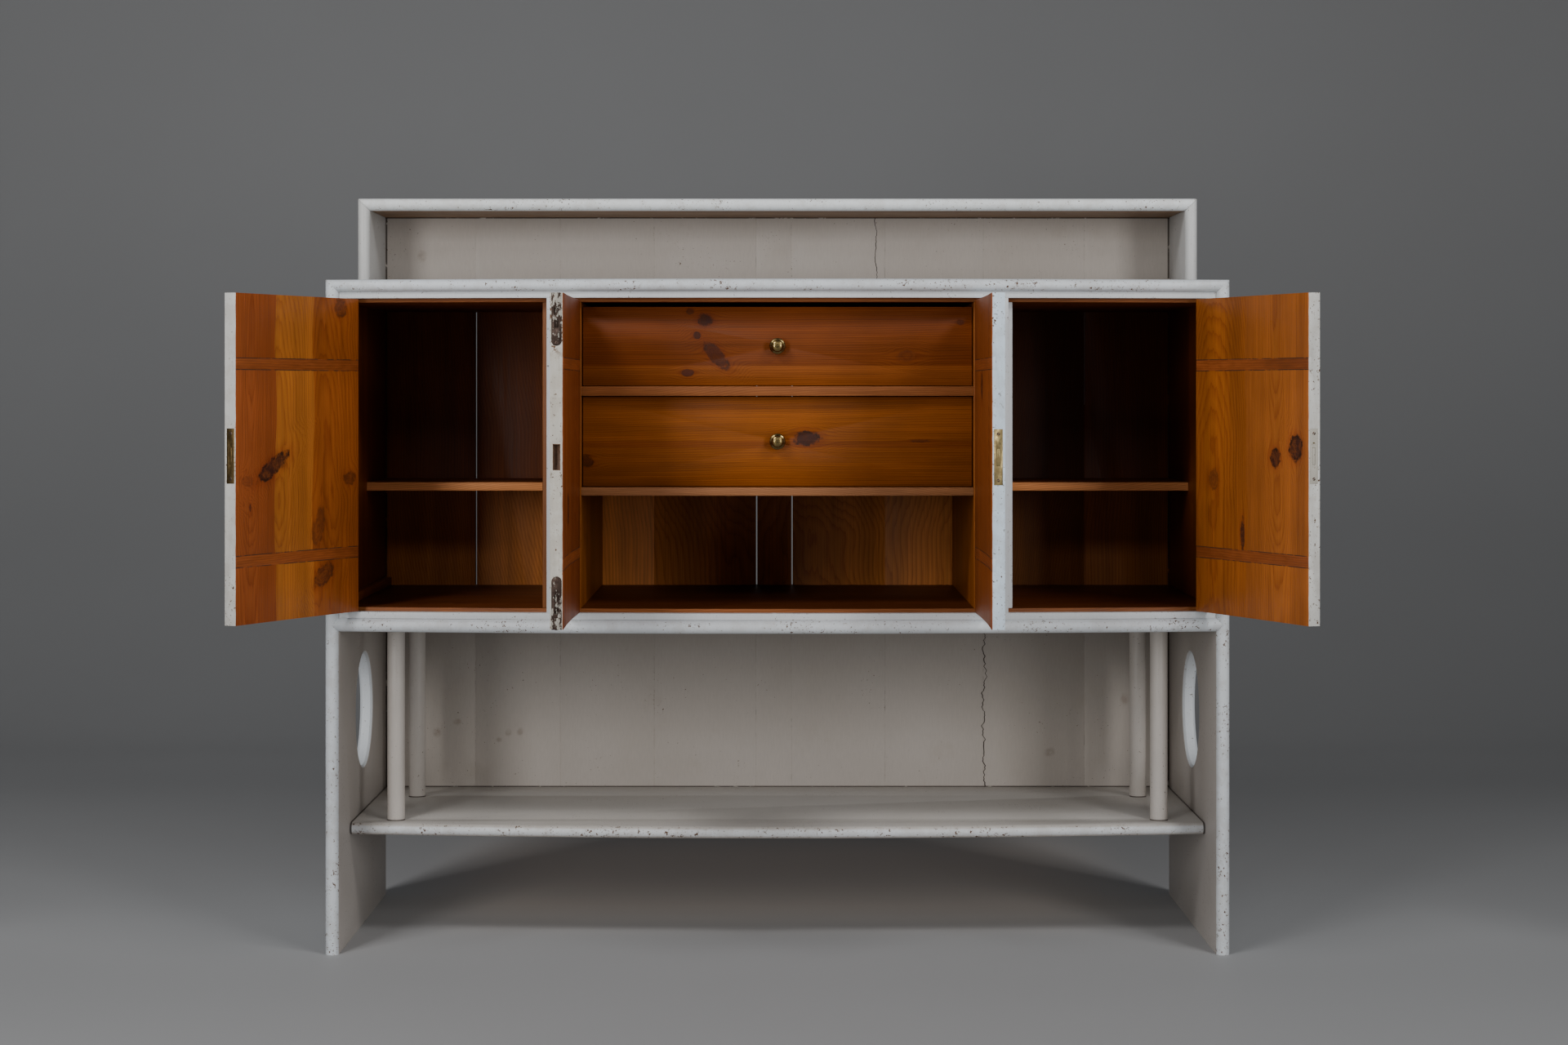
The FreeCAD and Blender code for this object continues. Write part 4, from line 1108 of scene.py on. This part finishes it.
def lathed(name, rings, sides):
    """A round piece along +Z, drawn out of a circle ring by ring."""
    radius, start = rings[0]
    bpy.ops.object.select_all(action="DESELECT")
    bpy.ops.mesh.primitive_circle_add(vertices=sides, radius=radius * MM, fill_type="NGON",
                                      location=(0, 0, start * MM))
    piece = bpy.context.object
    piece.name = name
    bpy.ops.object.transform_apply(location=True, rotation=True, scale=True)
    bpy.ops.object.mode_set(mode="EDIT")
    bpy.ops.mesh.select_all(action="SELECT")
    for (last, low), (size, high) in zip(rings, rings[1:]):
        bpy.ops.mesh.extrude_region_move(
            TRANSFORM_OT_translate={"value": (0, 0, (high - low) * MM)})
        bpy.ops.transform.resize(value=(size / last, size / last, 1))
    bpy.ops.mesh.select_all(action="SELECT")
    bpy.ops.mesh.normals_make_consistent(inside=False)
    leave_edit()
    return piece


def placed(piece, matrix):
    """Moves a piece and leaves its own place in its mesh."""
    piece.matrix_world = matrix
    only(piece)
    bpy.ops.object.transform_apply(location=True, rotation=True, scale=True)
    smooth(piece, 32.0)


class SIDEBOARD_OT_knobs(bpy.types.Operator):
    """Turned brass knobs of the drawers"""

    bl_idname = "sideboard.knobs"
    bl_label = "Knobs"

    def execute(self, context):
        for name in ("upper", "lower"):
            node = "drawer_" + name + "_knob"
            low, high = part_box(node)
            knob = lathed(node + "_turned", KNOB_RINGS, KNOB_SIDES)
            foot = Vector((0, low.y + KNOB_LENGTH, (low.z + high.z) / 2))
            placed(knob, Matrix.Translation(foot) @ Matrix.Rotation(math.radians(90), 4, "X"))
            worn = scaled(finishes().brass, 0.54)
            finish_piece(knob, node, metal("brass_" + name, worn, 0.22, 0.4))
        return {"FINISHED"}


def painted_plate(tree, place, wear):
    """White paint on a lock plate, cracked along its edges."""
    cover = tree.cloud(place, (120.0, 3.0, 0.7), 0.30, 0.36)
    return tree.both(cover, tree.fade(wear, 0.75, 0.35))


def smeared_plate(tree, place, wear):
    """Paint that strayed over the ends of the flush bolt plates."""
    z = tree.along(place, "Z")
    ends = tree.most(tree.fade(z, 0.955, 1.005), tree.fade(z, 0.575, 0.555))
    torn = tree.noise(tree.stretch(place, 1.0, 1.0, 0.5), 190.0, 4.0, 0.7)
    torn = tree.plus(torn, tree.times(ends, 0.14))
    return tree.times(tree.fade(torn, 0.60, 0.66), 0.8)


class SIDEBOARD_OT_metalwork(bpy.types.Operator):
    """Hinges, locks and flush bolts"""

    bl_idname = "sideboard.metalwork"
    bl_label = "Metalwork"

    def execute(self, context):
        arris = edges().metal_round
        iron, brass = tuple(finishes().iron), tuple(finishes().brass)
        dark = metal("iron", iron, 0.50, 0.6)
        flush = metal("iron_flush", iron, 0.45, 0.5, paint=smeared_plate)
        plates = {
            "outer_left": metal("brass_left", scaled(brass, 0.45, 0.42, 0.45), 0.42, 0.7),
            "outer_right": metal("brass_right", scaled(brass, 0.4), 0.45, 0.8,
                                 paint=painted_plate),
            "centre_right": metal("brass_centre", scaled(brass, 0.8, 0.85, 1.0), 0.38, 0.6),
        }
        for node in frame["nodes"]:
            if node.startswith("hinge_"):
                dressed(node, dark, arris)
            elif node.startswith("flush_"):
                dressed(node, flush, arris)
            elif node.startswith("lock_"):
                door = next(name for name in plates if node.endswith(name))
                dressed(node, plates[door], arris)
        return {"FINISHED"}


def slotted_screw():
    """The head of a screw, with its slot along Y."""
    screw = lathed("screw", SCREW_RINGS, SCREW_SIDES)
    only(screw)
    bpy.ops.object.mode_set(mode="EDIT")
    for side in (-1, 1):
        bpy.ops.mesh.select_all(action="SELECT")
        bpy.ops.mesh.bisect(plane_co=(side * SLOT_HALF, 0, 0), plane_no=(1, 0, 0))
    bpy.ops.object.mode_set(mode="OBJECT")
    edit_only("FACE", screw.data.polygons,
              lambda face: abs(face.center.x) < SLOT_HALF * 0.9 and face.normal.z > 0.3)
    bpy.ops.mesh.extrude_region_move(TRANSFORM_OT_translate={"value": (0, 0, -SLOT_DEPTH)})
    leave_edit()
    return screw


LOCK_SCREWS = (LOCK_HEIGHT - 33 * MM, LOCK_HEIGHT + 33 * MM)
# Door, distance of the free edge from the middle, and the heights of its screws
SCREWS = (
    ("outer_left", OUTER_EDGE, LOCK_SCREWS),
    ("outer_right", OUTER_EDGE, LOCK_SCREWS),
    ("centre_right", CENTRE_EDGE, LOCK_SCREWS),
    ("centre_left", CENTRE_EDGE, (603 * MM, 941 * MM)),
)


class SIDEBOARD_OT_screws(bpy.types.Operator):
    """Slotted screws in the plates on the doors' edges"""

    bl_idname = "sideboard.screws"
    bl_label = "Screws"

    def execute(self, context):
        master = slotted_screw()
        material = metal("screw_steel", scaled(finishes().iron, 1.7), 0.4, 0.5)
        master.data.materials.append(material)
        for door, edge, heights in SCREWS:
            side = side_of(door)
            pin, angle = hinge_of(door)
            depth = BOW_CENTRE - math.sqrt(FACE_RADIUS**2 - edge**2) + DOOR_THICK / 2
            swing = (Matrix.Translation(pin) @ Matrix.Rotation(angle, 4, "Z")
                     @ Matrix.Translation(-pin))
            for number, height in enumerate(heights):
                screw = bpy.data.objects.new(f"screw_{door}_{number}", master.data.copy())
                bpy.context.scene.collection.objects.link(screw)
                place = Matrix.Translation((side * edge, depth, height))
                turn = Matrix.Rotation(math.radians(-90 * side), 4, "Y")
                slot = Matrix.Rotation(math.radians(25 + 40 * number), 4, "Z")
                placed(screw, swing @ place @ turn @ slot)
                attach(screw, body_of("door_" + door))
        bpy.data.objects.remove(master)
        return {"FINISHED"}


class SIDEBOARD_OT_stage(bpy.types.Operator):
    """Pale floor and backdrop, soft lights and the camera"""

    bl_idname = "sideboard.stage"
    bl_label = "Stage"

    def execute(self, context):
        make_floor()
        make_lights()
        make_camera()
        return {"FINISHED"}


# The floor in metres, as far as the foot of the backdrop, and the sweep between them
FLOOR_HALF = 6.5
FLOOR_FRONT = -6.5
WALL_PLACE = 4.1
WALL_HEIGHT = 5.0
SWEEP = 1.7
FLOOR_RELIEF = 0.02 * MM


def make_floor():
    """A floor that sweeps up into a wall, clear from behind so that the back shows."""
    bpy.ops.object.select_all(action="DESELECT")
    bpy.ops.mesh.primitive_plane_add(size=1.0)
    floor = bpy.context.object
    floor.name = "floor"
    bpy.ops.object.mode_set(mode="EDIT")
    bpy.ops.transform.resize(value=(2 * FLOOR_HALF, WALL_PLACE - FLOOR_FRONT, 1))
    bpy.ops.transform.translate(value=(0, (WALL_PLACE + FLOOR_FRONT) / 2, 0))
    bpy.ops.object.mode_set(mode="OBJECT")

    def at_wall_foot(edge):
        ends = [floor.data.vertices[v].co for v in edge.vertices]
        return all(end.y > WALL_PLACE - 0.01 and end.z < 0.01 for end in ends)

    edit_only("EDGE", floor.data.edges, at_wall_foot)
    bpy.ops.mesh.extrude_edges_move(TRANSFORM_OT_translate={"value": (0, 0, WALL_HEIGHT)})
    bpy.ops.object.mode_set(mode="OBJECT")
    edit_only("EDGE", floor.data.edges, at_wall_foot)
    bpy.ops.mesh.bevel(offset=SWEEP, segments=24)
    leave_edit()
    bpy.ops.object.shade_smooth()
    material, tree, shader = new_material("floor")
    place = shut_place(tree)
    tone = tuple(finishes().floor)
    cloud = tree.cloud(place, (1.2, 3.0), 0.3, 0.7)
    colour = tree.mix(cloud, scaled(tone, 0.97), tone)
    x, y = tree.split(place)[:2]
    # Painted shade: the floor and backdrop darken with depth and from left to right.
    far = tree.both(tree.fade(y, 0.8, 3.4, 1.0, 0.77), tree.fade(x, -2.5, 2.5, 1.07, 0.87))
    # Painted shade: the floor in a band in front of the case is darker by up to 14 percent.
    front = tree.times(tree.near(y, -0.5, 0.8, 0.15), -0.14)
    colour = tree.shade(colour, tree.times(far, tree.plus(1.0, front)))
    # Painted light: the floor under the case is paler and warmer, which lightens its shadow.
    painted_light_under_case = tree.both(tree.near(x, 0.0, 0.68, 0.42), tree.near(y, 0.62, 0.62, 0.2))
    colour = tree.mix(painted_light_under_case, colour, tree.tint(colour, (1.5, 1.34, 1.2)))
    finish_surface(tree, shader, colour, 0.62, tree.noise(place, 300.0), FLOOR_RELIEF)
    behind = tree.add("ShaderNodeNewGeometry").outputs["Backfacing"]
    clear = tree.add("ShaderNodeBsdfTransparent").outputs[0]
    seen = tree.add("ShaderNodeMixShader", {0: behind, 1: shader.outputs[0], 2: clear})
    output = material.node_tree.nodes["Material Output"]
    tree.feed(output, {"Surface": seen.outputs[0]})
    floor.data.materials.append(material)


# Name, place, height that it is aimed at, width, height and power of each soft light
LIGHTS = (
    ("low_left", (-2.1, -4.2, 1.4), 0.6, 0.9, 1.7, 60),
    ("high_left", (-1.89, -2.4, 3.2), 0.5, 1.1, 0.6, 46),
    ("low_right", (2.5, -4.2, 1.4), 0.6, 0.9, 1.7, 58),
    ("high_right", (2.25, -2.4, 3.2), 0.5, 1.1, 0.6, 41),
    ("front", (0.0, -4.6, 3.0), 0.6, 1.6, 0.6, 14),
)
SKY = (0.9, 0.95, 1.0, 1.0)
SKY_STRENGTH = 0.08


def make_lights():
    """The soft lights and the weak light of the sky."""
    for name, place, aim, wide, tall, power in LIGHTS:
        light = bpy.data.lights.new(name, "AREA")
        light.shape = "RECTANGLE"
        light.size, light.size_y, light.energy = wide, tall, power
        lamp = bpy.data.objects.new(name, light)
        bpy.context.scene.collection.objects.link(lamp)
        lamp.location = place
        ray = Vector((0.0, 0.0, aim)) - Vector(place)
        lamp.rotation_euler = ray.to_track_quat("-Z", "Y").to_euler()
    world = bpy.data.worlds.new("studio")
    bpy.context.scene.world = world
    world.use_nodes = True
    sky = {"Color": SKY, "Strength": SKY_STRENGTH}
    Tree(world.node_tree).feed(world.node_tree.nodes["Background"], sky)


# The photograph's view: image size and the pixel of the point straight ahead of the lens
IMAGE_WIDE = 1920
IMAGE_HIGH = 1280
FOCAL_PIXELS = 3446.0
AHEAD_X = 952.0
AHEAD_Y = 482.6
CAMERA_DISTANCE = 4.350
CAMERA_HEIGHT = 0.868
SENSOR = 36.0


def make_camera():
    """A level camera that looks along Y; its shifts put the point straight ahead in place."""
    data = bpy.data.cameras.new("camera")
    data.sensor_width = SENSOR
    data.lens = FOCAL_PIXELS / IMAGE_WIDE * SENSOR
    data.shift_x = (IMAGE_WIDE / 2 - AHEAD_X) / IMAGE_WIDE
    data.shift_y = (AHEAD_Y - IMAGE_HIGH / 2) / IMAGE_WIDE
    camera = bpy.data.objects.new("camera", data)
    bpy.context.scene.collection.objects.link(camera)
    camera.location = (0, SIDE_FRONT - CAMERA_DISTANCE, CAMERA_HEIGHT)
    camera.rotation_euler = Euler((math.radians(90), 0, 0))
    bpy.context.scene.camera = camera


OPERATORS = (
    SIDEBOARD_OT_stage, SIDEBOARD_OT_case, SIDEBOARD_OT_front, SIDEBOARD_OT_posts,
    SIDEBOARD_OT_back, SIDEBOARD_OT_inside, SIDEBOARD_OT_doors, SIDEBOARD_OT_drawers,
    SIDEBOARD_OT_knobs, SIDEBOARD_OT_metalwork, SIDEBOARD_OT_screws,
)


class SIDEBOARD_PT_panel(bpy.types.Panel):
    """Lists the pieces of the sideboard"""

    bl_idname = "SIDEBOARD_PT_panel"
    bl_label = "Sideboard"
    bl_space_type = "VIEW_3D"
    bl_region_type = "UI"
    bl_category = "Sideboard"

    def draw(self, context):
        for operator in OPERATORS:
            self.layout.operator(operator.bl_idname)
        for group in (context.scene.sideboard_finishes, context.scene.sideboard_edges):
            for name in group.__annotations__:
                self.layout.prop(group, name)


CLASSES = (Finishes, Edges, *OPERATORS, SIDEBOARD_PT_panel)


def register():
    for item in CLASSES:
        bpy.utils.register_class(item)
    bpy.types.Scene.sideboard_finishes = bpy.props.PointerProperty(type=Finishes)
    bpy.types.Scene.sideboard_edges = bpy.props.PointerProperty(type=Edges)


def unregister():
    del bpy.types.Scene.sideboard_edges
    del bpy.types.Scene.sideboard_finishes
    for item in reversed(CLASSES):
        bpy.utils.unregister_class(item)


def main():
    register()
    bpy.ops.object.select_all(action="DESELECT")
    for operator in OPERATORS:
        group, name = operator.bl_idname.split(".")
        getattr(getattr(bpy.ops, group), name)()


if __name__ == "__main__":
    main()
